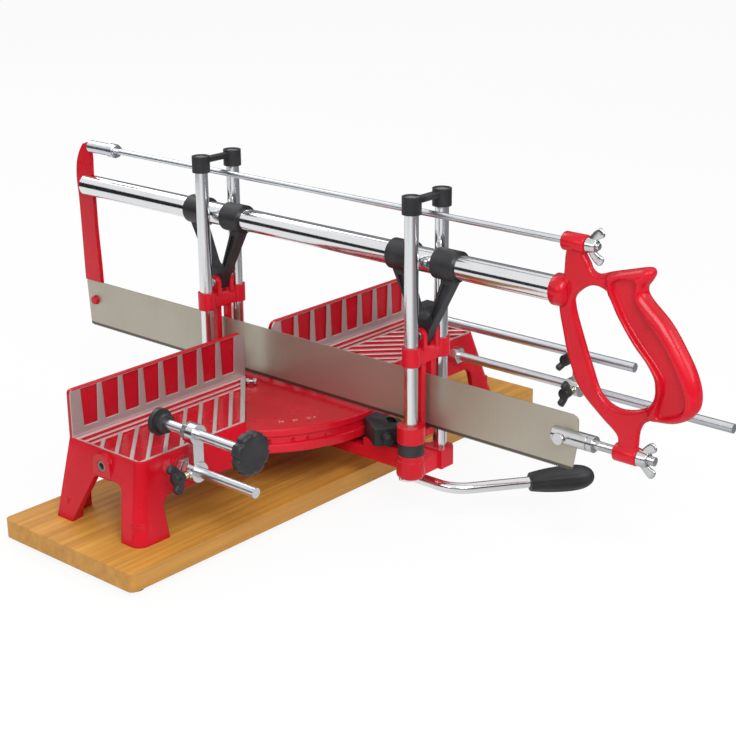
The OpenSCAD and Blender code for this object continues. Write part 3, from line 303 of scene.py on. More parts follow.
def smooth(points, count=24):
    """A curve through a few rows of numbers, sampled evenly: for paths, widths and profiles."""
    points = np.asarray(points, float)
    ends = np.vstack([2 * points[0] - points[1], points, 2 * points[-1] - points[-2]])
    where = np.linspace(0, len(points) - 1, count)
    span = np.minimum(where.astype(int), len(points) - 2)
    t = (where - span)[:, None]
    a, b, c, d = (ends[span + k] for k in range(4))
    return cubic(a, b, c, d, t)


print("surface words ready")

# %% [markdown]
# ## Red enamel
# The castings are coated with a glossy red enamel. One flat red with a low roughness would be quick, but
# it looks like plastic: on a real coat the colour drifts a little from place to place, and the skin has a
# faint orange-peel ripple over the grain of the casting. So noise of three sizes feeds the colour, the
# roughness and the relief, and a clear coat on the shader gives the wet highlight.

# %% The enamel
COAT, COAT_ROUGH, GLOSS = 0.20, 0.05, 0.18


def enamel(finish):
    """Colour, roughness and relief of the red coat, as wires."""
    place = finish.place()
    cloud = finish.noise(place, 18.0, 4.0)
    colour = finish.blend(finish.ramp(cloud, 0.3, 0.7), (0.47, 0.003, 0.012, 1), (0.57, 0.006, 0.019, 1))
    ripple = finish.noise(place, 420.0, 2.0)
    grain = finish.noise(place, 90.0, 3.0)
    return place, colour, 0.20 + cloud * 0.14, ripple * 0.35 + grain


red_finish = Finish("red_enamel")
_, red_colour, red_rough, red_relief = enamel(red_finish)
red_finish.feed(base_color=red_colour, roughness=red_rough)
red_finish.set(coat_weight=COAT, coat_roughness=COAT_ROUGH, specular_ior_level=GLOSS)
red_finish.relief(red_relief, 0.0004, 0.15, edge=0.0012)
print("red enamel mixed")

# %% [markdown]
# The bed is painted first and machined afterwards, so the rib tops of the table and the bars of the fence
# are bare metal. Their faces could be picked one by one, but those change whenever the CAD does. Where
# the cutter has been is a plain question of place: the table's top plane and the fence's front plane. The
# mask below asks it with Object coordinates and keeps the outer edges red, because they are rounded. The
# sunk panels of the fence are painted a deeper red, as painted shade for their recess.

# %% Bed: enamel with machined ribs
FENCE_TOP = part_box("left_table")[1].z
TABLE_Z = 0.0805
CORNER_X, CORNER_Y, CORNER_R = 0.195, 0.070, 0.0062
bed_finish = Finish("bed_enamel")
bed_place, bed_red, bed_rough, bed_relief = enamel(bed_finish)
bed_x, bed_y, bed_z = bed_finish.xyz(bed_place)
wander = bed_finish.noise(bed_place, 220.0, 2.0) * 0.0006
past_x = (abs(bed_x) - CORNER_X).largest(0.0)
past_y = (-1.0 * bed_y - CORNER_Y).largest(0.0)
from_corner = (past_x * past_x + past_y * past_y) ** 0.5
on_table = (bed_finish.window(bed_z, TABLE_Z - 0.0004, TABLE_Z + 0.0004, 0.0002)
            * (1 - bed_finish.ramp(from_corner + wander, CORNER_R - 0.0006, CORNER_R))
            * (1 - bed_finish.ramp(bed_y, -0.0006, -0.0001)))
on_fence = (bed_finish.window(bed_y, -0.0004, 0.0005, 0.0002)
            * bed_finish.ramp(bed_z, TABLE_Z + 0.0002, TABLE_Z + 0.0006)
            * (1 - bed_finish.ramp(bed_z + wander, FENCE_TOP - 0.0009, FENCE_TOP - 0.0004)))
bare = on_table.largest(on_fence)
# Painted shade: the sunk panels of the fence are blended towards a deeper red to stand in for the shade in
# their recess.
sunk_panel_shade = (bed_finish.window(bed_y, 0.0008, 0.0040, 0.0002)
        * bed_finish.window(bed_z, TABLE_Z + 0.0020, FENCE_TOP - 0.0008, 0.0004))
bed_red = bed_finish.blend(sunk_panel_shade * 0.6, bed_red, (0.34, 0.002, 0.010, 1))
strokes = bed_finish.noise(bed_finish.stretch(bed_place, (40.0, 900.0, 900.0)), 1.0, 3.0)
metal = bed_finish.blend(on_fence, (0.74, 0.70, 0.68, 1), (0.56, 0.49, 0.49, 1))
metal = bed_finish.blend(strokes * 0.35, metal, (0.34, 0.31, 0.30, 1))
bed_finish.feed(base_color=bed_finish.blend(bare, bed_red, metal),
                roughness=bed_rough * (1 - bare) + bare * (0.32 + strokes * 0.12),
                metallic=bare * 0.75,
                coat_weight=(1 - bare) * COAT)
bed_finish.set(coat_roughness=COAT_ROUGH, specular_ior_level=GLOSS)
bed_finish.relief(bed_relief * (1 - bare) + bare * strokes * 0.6, 0.0004, 0.16, edge=0.0014)
print("bed enamel with bare ribs mixed")

# %% [markdown]
# ## Bright metals
# Four metals shine in different ways. The tube, the posts and the lever are chromed: nearly a mirror,
# with the faint lengthwise polish lines of drawn tube. The thin rods are the same steel with a softer,
# satin shine. Wing nuts, clevis and holders are zinc plated: bright, with a bluish cloud and a soft
# crystal grain. The blade is ground steel, satin and warm, with a darker line along the teeth. Two small
# metals follow: the yellow plating of the lock screws' threads, and dull steel for the socket inserts.
# Images of metal would need a UV map on every rod. Noise in Object coordinates needs none, and a stretch
# draws it out along the bar.

# %% Chrome, zinc and blade steel
ALONG_Y = (700.0, 9.0, 700.0)
ALONG_Z = (700.0, 700.0, 9.0)
CHROME = ((0.68, 0.69, 0.71, 1), (0.80, 0.81, 0.82, 1))
SATIN = ((0.58, 0.61, 0.65, 1), (0.70, 0.72, 0.75, 1))


def drawn_metal(name, grain, haze_scale, tones, rough, spread, depth):
    """A drawn bar or tube: haze between two tones, and polish lines in its roughness and relief."""
    finish = Finish(name)
    place = finish.place()
    lines = finish.noise(finish.stretch(place, grain), 1.0, 3.0)
    haze = finish.noise(place, haze_scale, 3.0)
    finish.set(metallic=1.0)
    finish.feed(base_color=finish.blend(haze, *tones), roughness=rough + lines * spread)
    finish.relief(lines, 0.0001, depth, edge=0.0)
    return finish


chrome_finish = drawn_metal("chrome", ALONG_Y, 35.0, CHROME, 0.10, 0.08, 0.015)
post_finish = drawn_metal("post_chrome", ALONG_Z, 35.0, CHROME, 0.12, 0.08, 0.015)
rod_finish = drawn_metal("satin_rod", ALONG_Y, 45.0, SATIN, 0.24, 0.10, 0.02)

zinc_finish = Finish("zinc_plate")
zinc_place = zinc_finish.place()
spangle = zinc_finish.node("ShaderNodeTexVoronoi", inputs={"Vector": zinc_place, "Scale": 520.0})
cloud = zinc_finish.noise(zinc_place, 70.0, 4.0)
zinc_finish.set(metallic=1.0)
zinc_finish.feed(base_color=zinc_finish.blend(cloud, (0.46, 0.47, 0.49, 1), (0.72, 0.72, 0.71, 1)),
                 roughness=0.14 + cloud * 0.14)
zinc_finish.relief(spangle + cloud, 0.0002, 0.15, edge=0.0006)

BLADE_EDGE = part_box("saw_blade")[0].z
blade_finish = Finish("blade_steel")
blade_place = blade_finish.place()
blade_z = blade_finish.xyz(blade_place)[2]
ground = blade_finish.noise(blade_finish.stretch(blade_place, (300.0, 1500.0, 25.0)), 1.0, 4.0)
stain = blade_finish.noise(blade_place, 14.0, 4.0)
tooth_line = 1 - blade_finish.ramp(blade_z, BLADE_EDGE + 0.0026, BLADE_EDGE + 0.0036)
blade_colour = blade_finish.blend(stain, (0.42, 0.39, 0.32, 1), (0.53, 0.50, 0.42, 1))
blade_colour = blade_finish.blend(ground * 0.25, blade_colour, (0.28, 0.26, 0.21, 1))
blade_finish.set(metallic=0.85)
blade_finish.feed(base_color=blade_finish.blend(tooth_line * 0.85, blade_colour, (0.06, 0.05, 0.04, 1)),
                  roughness=0.34 + ground * 0.14)
blade_finish.relief(ground, 0.0002, 0.12, edge=0.0)

brass_finish = Finish("yellow_plate")
brass_tone = brass_finish.noise(brass_finish.place(), 160.0, 4.0)
brass_finish.set(metallic=1.0)
brass_finish.feed(base_color=brass_finish.blend(brass_tone, (0.50, 0.40, 0.18, 1), (0.72, 0.66, 0.42, 1)),
                  roughness=0.24 + brass_tone * 0.16)

dull_finish = Finish("dull_steel")
dull_tone = dull_finish.noise(dull_finish.place(), 240.0, 4.0)
dull_finish.set(metallic=0.8)
dull_finish.feed(base_color=dull_finish.blend(dull_tone, (0.16, 0.15, 0.15, 1), (0.34, 0.33, 0.32, 1)),
                 roughness=0.42 + dull_tone * 0.2)
dull_finish.relief(dull_tone, 0.0002, 0.2, edge=0.0005)
print("chrome, satin rod, zinc, blade steel, yellow plate and dull steel mixed")

# %% [markdown]
# ## Black plastic, rubber and wood
# The bushes, caps, knob and wing screws are moulded in black plastic with a fine spark-eroded texture.
# The feet are soft rubber. The board is light hardwood under a thin varnish: long streaks along X, fine
# pores, and duller sides below its top, whose darker colour is painted shade. An image of wood would show
# a seam at the edges, but stretched noise runs through the board as real grain does.

# %% Black plastic and rubber
plastic_finish = Finish("black_plastic")
plastic_place = plastic_finish.place()
spark = plastic_finish.noise(plastic_place, 1500.0, 2.0)
scuff = plastic_finish.noise(plastic_place, 45.0, 5.0)
plastic_finish.feed(base_color=plastic_finish.blend(plastic_finish.ramp(scuff, 0.45, 0.8),
                                                    (0.010, 0.010, 0.012, 1), (0.028, 0.028, 0.031, 1)),
                    roughness=0.36 + scuff * 0.22)
plastic_finish.set(specular_ior_level=0.5)
plastic_finish.relief(spark, 0.0001, 0.3, edge=0.0009)

rubber_finish = Finish("foot_rubber")
rubber_dust = rubber_finish.noise(rubber_finish.place(), 120.0, 4.0)
rubber_colour = rubber_finish.blend(rubber_dust, (0.012, 0.012, 0.012, 1), (0.05, 0.048, 0.045, 1))
rubber_finish.feed(base_color=rubber_colour, roughness=0.62 + rubber_dust * 0.25)
rubber_finish.relief(rubber_dust, 0.0003, 0.3, edge=0.0008)
print("black plastic and rubber mixed")

# %% Varnished board
BOARD_RIM, BOARD_TOP = 0.0192, 0.0197
wood_finish = Finish("varnished_board")
wood_place = wood_finish.place()
_, wood_y, wood_z = wood_finish.xyz(wood_place)
bow = wood_finish.noise(wood_finish.stretch(wood_place, (3.0, 14.0, 14.0)), 1.0, 3.0)
streak = wood_finish.noise(wood_finish.stretch(wood_place, (6.0, 190.0, 190.0)), 1.0, 5.0, 0.6)
pores = wood_finish.noise(wood_finish.stretch(wood_place, (70.0, 1700.0, 1700.0)), 1.0, 2.0)
planks = wood_finish.window((wood_y + bow * 0.01 + 0.5).modulo(0.047), 0.0, 0.022, 0.006)
tone = wood_finish.blend(wood_finish.ramp(streak, 0.28, 0.72),
                         (0.44, 0.195, 0.030, 1), (0.68, 0.340, 0.066, 1))
tone = wood_finish.blend(planks * 0.30, tone, (0.54, 0.25, 0.040, 1))
tone = wood_finish.blend(wood_finish.ramp(bow, 0.35, 0.75) * 0.45, tone, (0.76, 0.41, 0.090, 1))
tone = wood_finish.blend(wood_finish.ramp(pores, 0.60, 0.72) * 0.35, tone, (0.20, 0.095, 0.03, 1))
# Painted shade: the sides below the top are blended towards a darker brown; their higher roughness is the
# duller finish.
shaded_dull_sides = 1 - wood_finish.ramp(wood_z, BOARD_RIM, BOARD_TOP)
wood_finish.feed(base_color=wood_finish.blend(shaded_dull_sides * 0.45, tone, (0.34, 0.175, 0.050, 1)),
                 roughness=0.34 + streak * 0.16 + shaded_dull_sides * 0.15)
wood_finish.set(coat_weight=0.05, coat_roughness=0.25, specular_ior_level=0.22)
wood_finish.relief(streak + pores * 0.7, 0.0003, 0.25, edge=0.0012)
print("varnished board mixed")

# %% [markdown]
# ## Finishes on the CAD pieces
# The record gives each node a material slot. Finishes could go on node by node, but by slot no node is
# forgotten. Only pieces whose look differs from their slot's are named: the bed, the posts, the thin rods
# and the socket inserts.

# %% Every CAD node gets its finish
finish_of = {
    "red_enamel": red_finish, "oak_board": wood_finish, "rubber": rubber_finish, "zinc": zinc_finish,
    "chrome": chrome_finish, "blade_steel": blade_finish, "black_plastic": plastic_finish,
    "black_metal": plastic_finish,
}
for sub in frame["record"]["subparts"]:
    mesh = nodes[sub["node"]].data
    mesh.materials.clear()
    mesh.materials.append(finish_of[sub["material_slot"]].material)
for name in ("left_table", "right_table"):
    nodes[name].data.materials[0] = bed_finish.material
for name in ("front_left_post", "front_right_post", "rear_left_post", "rear_right_post"):
    nodes[name].data.materials[0] = post_finish.material
for name in ("clamp_support_rod", "clamp_spindle", "stop_support_rod", "stop_rod",
             "tension_rod", "tension_barrel"):
    nodes[name].data.materials[0] = rod_finish.material
nodes["socket_inserts"].data.materials[0] = dull_finish.material

# %% [markdown]
# ## The cast handle
# The handle is one casting: a flat bow to the blade, and a fat grip with a sunk field on each side. It
# could be a flat plate with a bevel, but a bevel can't swell into a grip. It is the same on both sides,
# so each side is a height over the plane of the blade. The height depends only on how far a point lies
# inside the outlines: near the edge it rises like a quarter circle, in the grip it rises higher, and
# inside the field it drops to a thin web. Distances to outlines are quick to work out for a whole grid at
# once.

# %% Outlines and distances
PIN_Z, TUBE_Z, ROD_Z = 102.0, 211.5, 248.0
NEAR_END = -325.5


def on_handle(points):
    """Handle points in mm: distance in front of the blade's near end, and height above its pins."""
    points = np.asarray(points, float)
    return np.stack([NEAR_END - points[:, 0], PIN_Z + points[:, 1]], 1)


def loop_through(points, steps=8):
    """A smooth closed line through points: each span is the cubic of its four neighbours."""
    a, b, c, d = (np.roll(points, shift, 0)[:, None] for shift in (1, 0, -1, -2))
    t = np.linspace(0, 1, steps, endpoint=False)[None, :, None]
    return cubic(a, b, c, d, t).reshape(-1, points.shape[1])


def depth_inside(points, loop):
    """Distance of each point to a closed line, positive inside it."""
    start, end = loop, np.roll(loop, -1, 0)
    step = end - start
    off = points[:, None] - start[None]
    along = np.clip((off * step).sum(2) / np.maximum((step**2).sum(1), 1e-12), 0, 1)
    near = np.linalg.norm(off - along[..., None] * step, axis=2).min(1)
    crosses = (start[None, :, 1] > points[:, None, 1]) != (end[None, :, 1] > points[:, None, 1])
    rise = np.where(np.abs(step[:, 1]) < 1e-12, 1e-12, step[:, 1])
    where = start[None, :, 0] + (points[:, None, 1] - start[None, :, 1]) / rise * step[None, :, 0]
    inside = (crosses & (points[:, None, 0] < where)).sum(1) % 2 == 1
    return np.where(inside, near, -near)


HANDLE = loop_through(on_handle([
    (-16, 138), (-17, 121), (-20, 100), (-16, 81), (-10.5, 62), (0, 40), (18, 24), (32.5, 13),
    (35, 4), (48.5, 4), (51, 20), (58, 29), (80, 33), (93.5, 43), (96, 56), (91, 71.5), (81, 87.5),
    (69, 103), (53, 117), (50, 123.5), (53.5, 129.5), (55.5, 135), (51.5, 139), (38, 135.5),
    (23, 131), (13, 127.5), (7, 129), (4, 134), (0.7, 139), (-3, 146), (-12, 146)]))
OPENING = loop_through(on_handle([
    (-6, 108), (-6.5, 99), (-0.5, 82), (9.5, 58), (18.5, 40), (33, 33), (51, 36.5), (60.5, 45.5),
    (62, 57), (56, 69.5), (43, 83), (30, 100), (20, 115), (6, 117.5)]))
GRIP = loop_through(on_handle([
    (20, 129.5), (38, 135.5), (51.5, 139), (55.5, 135), (53.5, 129.5), (50, 123.5), (53, 117),
    (69, 103), (81, 87.5), (91, 71.5), (96, 56), (93.5, 43), (80, 33), (60, 30.5), (57, 40), (62, 57),
    (56, 69.5), (43, 83), (30, 100), (20.5, 116)]))
FIELD = loop_through(on_handle([
    (26, 124), (44, 129), (44, 118), (51, 108), (66, 93), (78, 76), (87, 58), (87.5, 46), (81, 39.5),
    (67, 37), (70, 58), (63, 70.5), (49, 85), (35.5, 102)]))
print("handle outline of", len(HANDLE), "points")


# %% Height of the handle over the blade's plane
BOW_HALF, BOW_ROUND = 3.5, 3.2
GRIP_HALF, GRIP_ROUND = 9.0, 7.5
WEB_HALF = 4.0
PLATE_LOW, PLATE_HIGH, PLATE_PITCH = (-430.0, 100.0), (-302.0, 252.0), 0.6


def quarter(depth, radius):
    """Rise of a quarter circle: 0 at the edge, 1 from one radius inwards."""
    return np.sqrt(np.clip(1 - (1 - np.clip(depth / radius, 0, 1)) ** 2, 0, 1))


def ease(value, low, high):
    """A soft step: 0 up to low, 1 from high, and 3 t squared less 2 t cubed between."""
    t = np.clip((value - low) / (high - low), 0, 1)
    return t * t * (3 - 2 * t)


def handle_height(points):
    """Half thickness of the casting at points in the blade's plane, and the depth inside its outline."""
    depth = np.minimum(depth_inside(points, HANDLE), -depth_inside(points, OPENING))
    bow = BOW_HALF * quarter(depth, BOW_ROUND)
    grip_depth = np.minimum(depth, depth_inside(points, GRIP))
    grip = GRIP_HALF * quarter(grip_depth, GRIP_ROUND)
    field = ease(depth_inside(points, FIELD), -1.2, 1.4)
    height = np.maximum(bow, grip)
    return height * (1 - field) + np.minimum(height, WEB_HALF) * field, depth


def cast_plate(height_of, low, high, pitch):
    """One side of a casting over a square grid, with its edge points pulled onto the outline."""
    y = np.arange(low[0], high[0], pitch)
    z = np.arange(low[1], high[1], pitch)
    flat = np.stack(np.meshgrid(y, z, indexing="ij"), -1).reshape(-1, 2)
    depth = height_of(flat)[1]
    tiny = 0.02
    for _ in range(3):
        close = np.abs(depth) < 0.75 * pitch
        spot = flat[close]
        slope = np.stack([height_of(spot + [tiny, 0])[1] - height_of(spot - [tiny, 0])[1],
                          height_of(spot + [0, tiny])[1] - height_of(spot - [0, tiny])[1]], 1)
        slope /= np.maximum(np.linalg.norm(slope, axis=1, keepdims=True), 1e-9)
        flat[close] = spot - slope * depth[close][:, None]
        depth[close] = 0.0
    height = np.where(depth > 0, height_of(flat)[0], 0.0)
    index = np.arange(len(flat)).reshape(len(y), len(z))
    quads = np.stack([index[:-1, :-1], index[1:, :-1], index[1:, 1:], index[:-1, 1:]], -1).reshape(-1, 4)
    inside = depth[quads] >= 0
    whole = quads[inside.all(1) & (depth[quads] > 0).any(1)]
    part = quads[inside.sum(1) == 3]
    keep = inside[inside.sum(1) == 3]
    corner = part[keep].reshape(-1, 3)
    corner = corner[(depth[corner] > 0).any(1)]
    used = np.unique(np.concatenate([whole.ravel(), corner.ravel()]))
    place_of = np.zeros(len(flat), int)
    place_of[used] = np.arange(len(used))
    return flat[used], height[used], place_of[whole], place_of[corner]


flat, height, whole, corner = cast_plate(handle_height, PLATE_LOW, PLATE_HIGH, PLATE_PITCH)
left_side = np.column_stack([-height, flat])
right_side = np.column_stack([height, flat])
print("handle plate of", len(flat), "points a side")


# %% Lugs, tube boss and the finished casting
def along_handle(profile, height_z, ring=True):
    """A profile [distance behind the blade's near end, radius] turned about a line along Y at a height."""
    return turned(profile, (0, NEAR_END, height_z), (0, 1, 0), 56, ring=ring)


def lug(front, back, radius, bore):
    """A short round bar with softened rims and a hole."""
    return [[front, bore], [front, radius - 0.9], [front + 0.3, radius - 0.3], [front + 0.9, radius],
            [back - 0.9, radius], [back - 0.3, radius - 0.3], [back, radius - 0.9], [back, bore]]


dome = np.linspace(0, np.pi / 2, 9)
boss_front = np.stack([11.0 + 6.0 * (1 - np.cos(dome)), 5.75 + 6.0 * np.sin(dome)], 1)
boss_back = [[23.2, 11.75], [24.0, 11.0], [24.0, 9.6], [16.0, 9.6], [16.0, 0.0]]
tube_boss = [[11.0, 0.0]] + boss_front.tolist() + boss_back
piece("cast_handle", [
    (left_side, whole), (left_side, corner), (right_side, whole), (right_side, corner),
    along_handle(lug(-0.7, 18.0, 6.8, 2.55), ROD_Z),
    along_handle(lug(-50.8, -32.0, 6.8, 3.55), PIN_Z),
    along_handle(tube_boss, TUBE_Z, ring=False)],
    red_finish.material, "saw", ["saw_handle"], crease=50)

# %% [markdown]
# ## Wing nuts and their threads
# Two cast wing nuts draw the frame tight. Each is a tapered hub with two wings that lean away from the
# handle, so that two fingers can turn them. A wing could be a bent box under a subdivision surface, but
# an oval carried along a short curve keeps its sizes in plain view: it is flat where it leaves the hub
# and rounded off at its tip. The stud and the tension rod that carry the nuts show their threads against
# the white, where bump would leave a straight edge. So the thread is real relief: the radius rises and
# falls with the angle plus the distance along the axis.


# %% Wing nuts
def wing(origin, axis, outwards, points, wide, thick):
    """An oval carried along points [distance from the axis, distance along it], closing in a round tip."""
    curve = smooth(points, 26)
    path = np.asarray(origin) + curve[:, :1] * np.asarray(outwards) + curve[:, 1:] * np.asarray(axis)
    t = np.linspace(0, 1, len(curve))
    tip = np.sqrt(np.clip(1 - t**9, 0, 1))
    size = smooth(np.column_stack([wide, thick]), 26) * tip[:, None]
    return carried(path, size[:, 0], size[:, 1], axis)


def wing_nut(name, seat, bore, body, node):
    """Hub and two wings of a nut whose seat faces +Y."""
    axis = np.array([0.0, -1.0, 0.0])
    foot = bore + 3.0
    hub = [[0.0, bore + 0.06], [0.0, foot - 0.5], [0.5, foot], [6.4, foot - 0.9], [7.6, foot - 1.3],
           [8.0, foot - 1.9], [8.0, bore + 0.06]]
    skins = [turned(hub, seat, axis, 40, ring=True)]
    for side in (1.0, -1.0):
        skins.append(wing(seat, axis, (0.0, 0.0, side),
                          [[bore + 1.0, 3.4], [6.0, 5.2], [8.4, 8.0], [10.2, 11.0], [11.4, 13.0]],
                          [2.8, 2.9, 3.4, 3.8, 3.1], [1.9, 1.6, 1.4, 1.4, 1.2]))
    piece(name, skins, zinc_finish.material, body, [node])


wing_nut("upper_wing_nut", (0.0, -326.5, ROD_Z), 2.5, "tension_nut", "tension_wing_nut")
wing_nut("lower_wing_nut", (0.0, -376.6, PIN_Z), 3.5, "blade_nut", "blade_wing_nut")


# %% Threaded rods
THREAD_DEEP = 0.16


def threaded(start, axis, length, plain, radius, pitch):
    """A rod with a plain part and then a thread: there the radius follows the angle plus the distance."""
    along = np.concatenate([[0.0, 0.0], np.arange(0.0, length, pitch / 8), [length, length]])
    size = np.full(len(along), radius)
    size[[0, -1]] = 0.0
    size[[1, -2]] = radius - 0.5

    def relief(angle, distance, row_radius):
        wave = np.abs(((distance / pitch + angle / (2 * np.pi)) % 1.0) * 2 - 1)
        deep = THREAD_DEEP * ease(distance, plain, plain + 1.0) * (row_radius > radius - 0.1)
        return 1 - deep * wave

    return turned(np.column_stack([along, size]), start, axis, 32, lobes=relief)


piece("threaded_stud", [threaded((0, -333.8, PIN_Z), (0, -1, 0), 56.0, 10.0, 3.5, 1.25)],
      zinc_finish.material, "saw", ["blade_stud"], crease=60)
piece("threaded_rod_end", [threaded((0, -308.0, ROD_Z), (0, -1, 0), 28.6, 19.0, 2.52, 0.8)],
      zinc_finish.material, "saw", [], crease=60)

# %% [markdown]
# The mitre stop is a small bolt in the corner of the fence. Its head and lock nut could be six-sided
# cylinders, but then their rims would need a bevel each. Here they are turned profiles with soft rims,
# whose radius is divided by the cosine of the angle to the nearest flat.


# %% Mitre stop bolt
STOP_BOLT_R = 2.0


def six_sided(angle, along, radius):
    """Turns the round wall of a nut or head into six flats; bores stay round."""
    flat_angle = (angle + np.pi / 6) % (np.pi / 3) - np.pi / 6
    return np.where(radius > STOP_BOLT_R + 0.2, math.cos(np.pi / 6) / np.cos(flat_angle), 1.0)


STOP_WAY = np.array([math.sqrt(0.5), -math.sqrt(0.5), 0.0])
stop_low, stop_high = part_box("mitre_stop_screw")
STOP_START = np.array((stop_low + stop_high) / 2 / MM) - 3.0 * STOP_WAY
stop_nut = [[0.3, STOP_BOLT_R], [0.3, 2.6], [0.7, 2.9], [2.9, 2.9], [3.3, 2.6], [3.3, STOP_BOLT_R]]
stop_head = [[6.6, 0.0], [6.6, 2.6], [6.9, 2.9], [9.0, 2.9], [9.5, 2.4], [9.5, 0.0]]
piece("mitre_stop_bolt", [
    threaded(STOP_START - 3.5 * STOP_WAY, STOP_WAY, 10.4, 1.0, STOP_BOLT_R, 0.7),
    turned(stop_nut, STOP_START, STOP_WAY, 48, lobes=six_sided, ring=True),
    turned(stop_head, STOP_START, STOP_WAY, 48, lobes=six_sided)],
    zinc_finish.material, "base", ["mitre_stop_screw"])

# %% [markdown]
# ## Clamp knob, lock screws and lever grip
# These are the black mouldings that a hand turns. The knob is a thick disc with a flat face and eight
# narrow notches for the fingertips. The lock screws have a tapered hub and two stubby wings. The grip on
# the clamp lever bulges towards the middle and has shallow flutes. Notches and flutes could be cut with
# booleans, but those leave sharp ends. A turned shape whose radius depends on the angle lets them fade
# out.


# %% Clamp knob
NOTCHES, NOTCH_DEEP, NOTCH_FROM = 8, 0.10, 0.62


def scallops(angle, along, radius):
    """Narrow notches round the outer wall, where a cosine of the angle is high; none near the middle."""
    hollow = np.clip(np.cos(NOTCHES * angle) - NOTCH_FROM, 0, 1) / (1 - NOTCH_FROM)
    return 1 - NOTCH_DEEP * hollow**0.6 * ease(radius, 10.5, 14.0)


knob_low, knob_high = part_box("clamp_knob")
knob_middle = (knob_low + knob_high) / 2 / MM
KNOB_R = (knob_high.x - knob_low.x) / 2 / MM
knob_profile = [
    [0.0, 4.08], [0.0, 8.6], [0.4, 9.2], [3.4, 9.6], [4.0, 10.4], [4.1, KNOB_R - 1.8], [4.6, KNOB_R - 0.7],
    [5.6, KNOB_R], [10.9, KNOB_R], [12.1, KNOB_R - 0.5], [12.8, KNOB_R - 1.5], [13.0, KNOB_R - 2.8],
    [13.0, KNOB_R - 4.0], [12.9, KNOB_R - 7.2], [12.9, 3.0], [12.9, 0.0]]
knob_back = [[7.0, 0.0], [7.0, 4.08]]
knob_start = (knob_middle.x, knob_high.y / MM, knob_middle.z)
piece("lobed_knob", [turned(knob_back + knob_profile, knob_start, (0, -1, 0), 128, lobes=scallops)],
      plastic_finish.material, "clamp_turner", ["clamp_knob"], crease=40)


# %% Lock screws
def lock_screw(name, rod_x, rod_y, rod_z, turn, body, node):
    """A wing screw along -X: plated thread, hub and two wings; turn is the wings' angle about the screw."""
    axis = np.array([-1.0, 0.0, 0.0])
    middle = (rod_x, rod_y, rod_z)
    piece(name + "_thread", [threaded((rod_x - 4.2, rod_y, rod_z), axis, 12.0, 0.5, 2.5, 0.9)],
          brass_finish.material, body, crease=60)
    hub = [[14.4, 0.0], [14.4, 4.2], [14.8, 4.5], [18.0, 4.7], [22.2, 4.95], [23.0, 4.6], [23.4, 3.6],
           [23.4, 0.0]]
    skins = [turned(hub, middle, axis, 40)]
    for side in (1.0, -1.0):
        outwards = (0.0, -side * math.sin(math.radians(turn)), side * math.cos(math.radians(turn)))
        skins.append(wing(middle, axis, outwards,
                          [[3.0, 18.8], [5.4, 20.0], [7.6, 21.8], [9.3, 23.6], [10.4, 24.6]],
                          [3.6, 3.6, 3.7, 3.8, 3.0], [2.6, 2.6, 2.6, 2.5, 2.0]))
    piece(name, skins, plastic_finish.material, body, [node])


def screw_place(node, bound):
    """Where a lock screw's axis crosses its rod: the screw's middle in Y and Z, and the rod's X."""
    low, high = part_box(node)
    rod_low, rod_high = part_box(bound)
    return (rod_low.x + rod_high.x) / 2 / MM, (low.y + high.y) / 2 / MM, (low.z + high.z) / 2 / MM


lock_screw("clamp_wing_screw", *screw_place("clamp_lock_screw", "clamp_support_rod"), -25, "clamp_lock",
           "clamp_lock_screw")
lock_screw("lower_wing_screw", *screw_place("stop_lower_screw", "stop_support_rod"), 10, "stop_lower_lock",
           "stop_lower_screw")
lock_screw("upper_wing_screw", *screw_place("stop_upper_screw", "stop_rod"), 35, "stop_upper_lock",
           "stop_upper_screw")

# %% Lever grip
GRIP_START = np.array([50.375, -248.87, 30.0])
GRIP_WAY = np.array([0.809, -0.588, 0.0])
GRIP_LENGTH = 54.0
FLUTES, FLUTE_DEEP = 8, 0.10


def flutes(angle, along, radius):
    """Shallow hollows along the grip from the square of a cosine, fading out at both ends."""
    fade = ease(along, 3.0, 10.0) * (1 - ease(along, GRIP_LENGTH - 20.0, GRIP_LENGTH - 8.0))
    return 1 - FLUTE_DEEP * fade * (0.5 + 0.5 * np.cos(FLUTES * angle)) ** 2


grip_line = smooth([[0.0, 7.4], [5.0, 8.3], [14.0, 9.5], [26.0, 10.4], [37.0, 10.4], [45.0, 9.2],
                    [50.5, 6.6], [53.2, 3.4], [GRIP_LENGTH, 0.0]], 64)
grip_profile = np.vstack([[[44.0, 0.0], [44.0, 4.6], [0.0, 4.6], [0.0, 6.6], [0.25, 7.2]], grip_line[1:]])
piece("fluted_grip", [turned(grip_profile, GRIP_START, GRIP_WAY, 64, lobes=flutes)],
      plastic_finish.material, "clamp_lever", ["lever_grip"], crease=40)

# %% [markdown]
# ## Index spring
# A small coil behind the collar of the index pin pushes the pin into its catch. It sits inside the block,
# so it hardly shows. On the real saw it grows shorter when the pin is pulled; here it keeps one length. A
# bevelled curve would draw the same wire.

# %% Coil of the index pin
SPRING_TURN = math.radians(33)
SPRING_WAY = np.array([math.sin(SPRING_TURN), math.cos(SPRING_TURN), 0.0])
SPRING_R, WIRE_R, SPRING_TURNS = 3.4, 0.45, 4
PIN_PULL = 4.0
spring_points = np.empty(3 * len(nodes["index_spring"].data.vertices))
nodes["index_spring"].data.vertices.foreach_get("co", spring_points)
spring_points = spring_points.reshape(-1, 3) / MM
pin_front = np.array([-15.0, -155.7, (spring_points[:, 2].min() + spring_points[:, 2].max()) / 2])
spring_reach = (spring_points - pin_front) @ SPRING_WAY
spring_length = spring_reach.max() - spring_reach.min()
spring_foot = pin_front + spring_reach.min() * SPRING_WAY
coil_t = np.linspace(0, 1, 24 * SPRING_TURNS + 1)[:, None]
coil_angle = 2 * np.pi * SPRING_TURNS * coil_t
coil_side = np.cross(SPRING_WAY, [0.0, 0.0, 1.0])
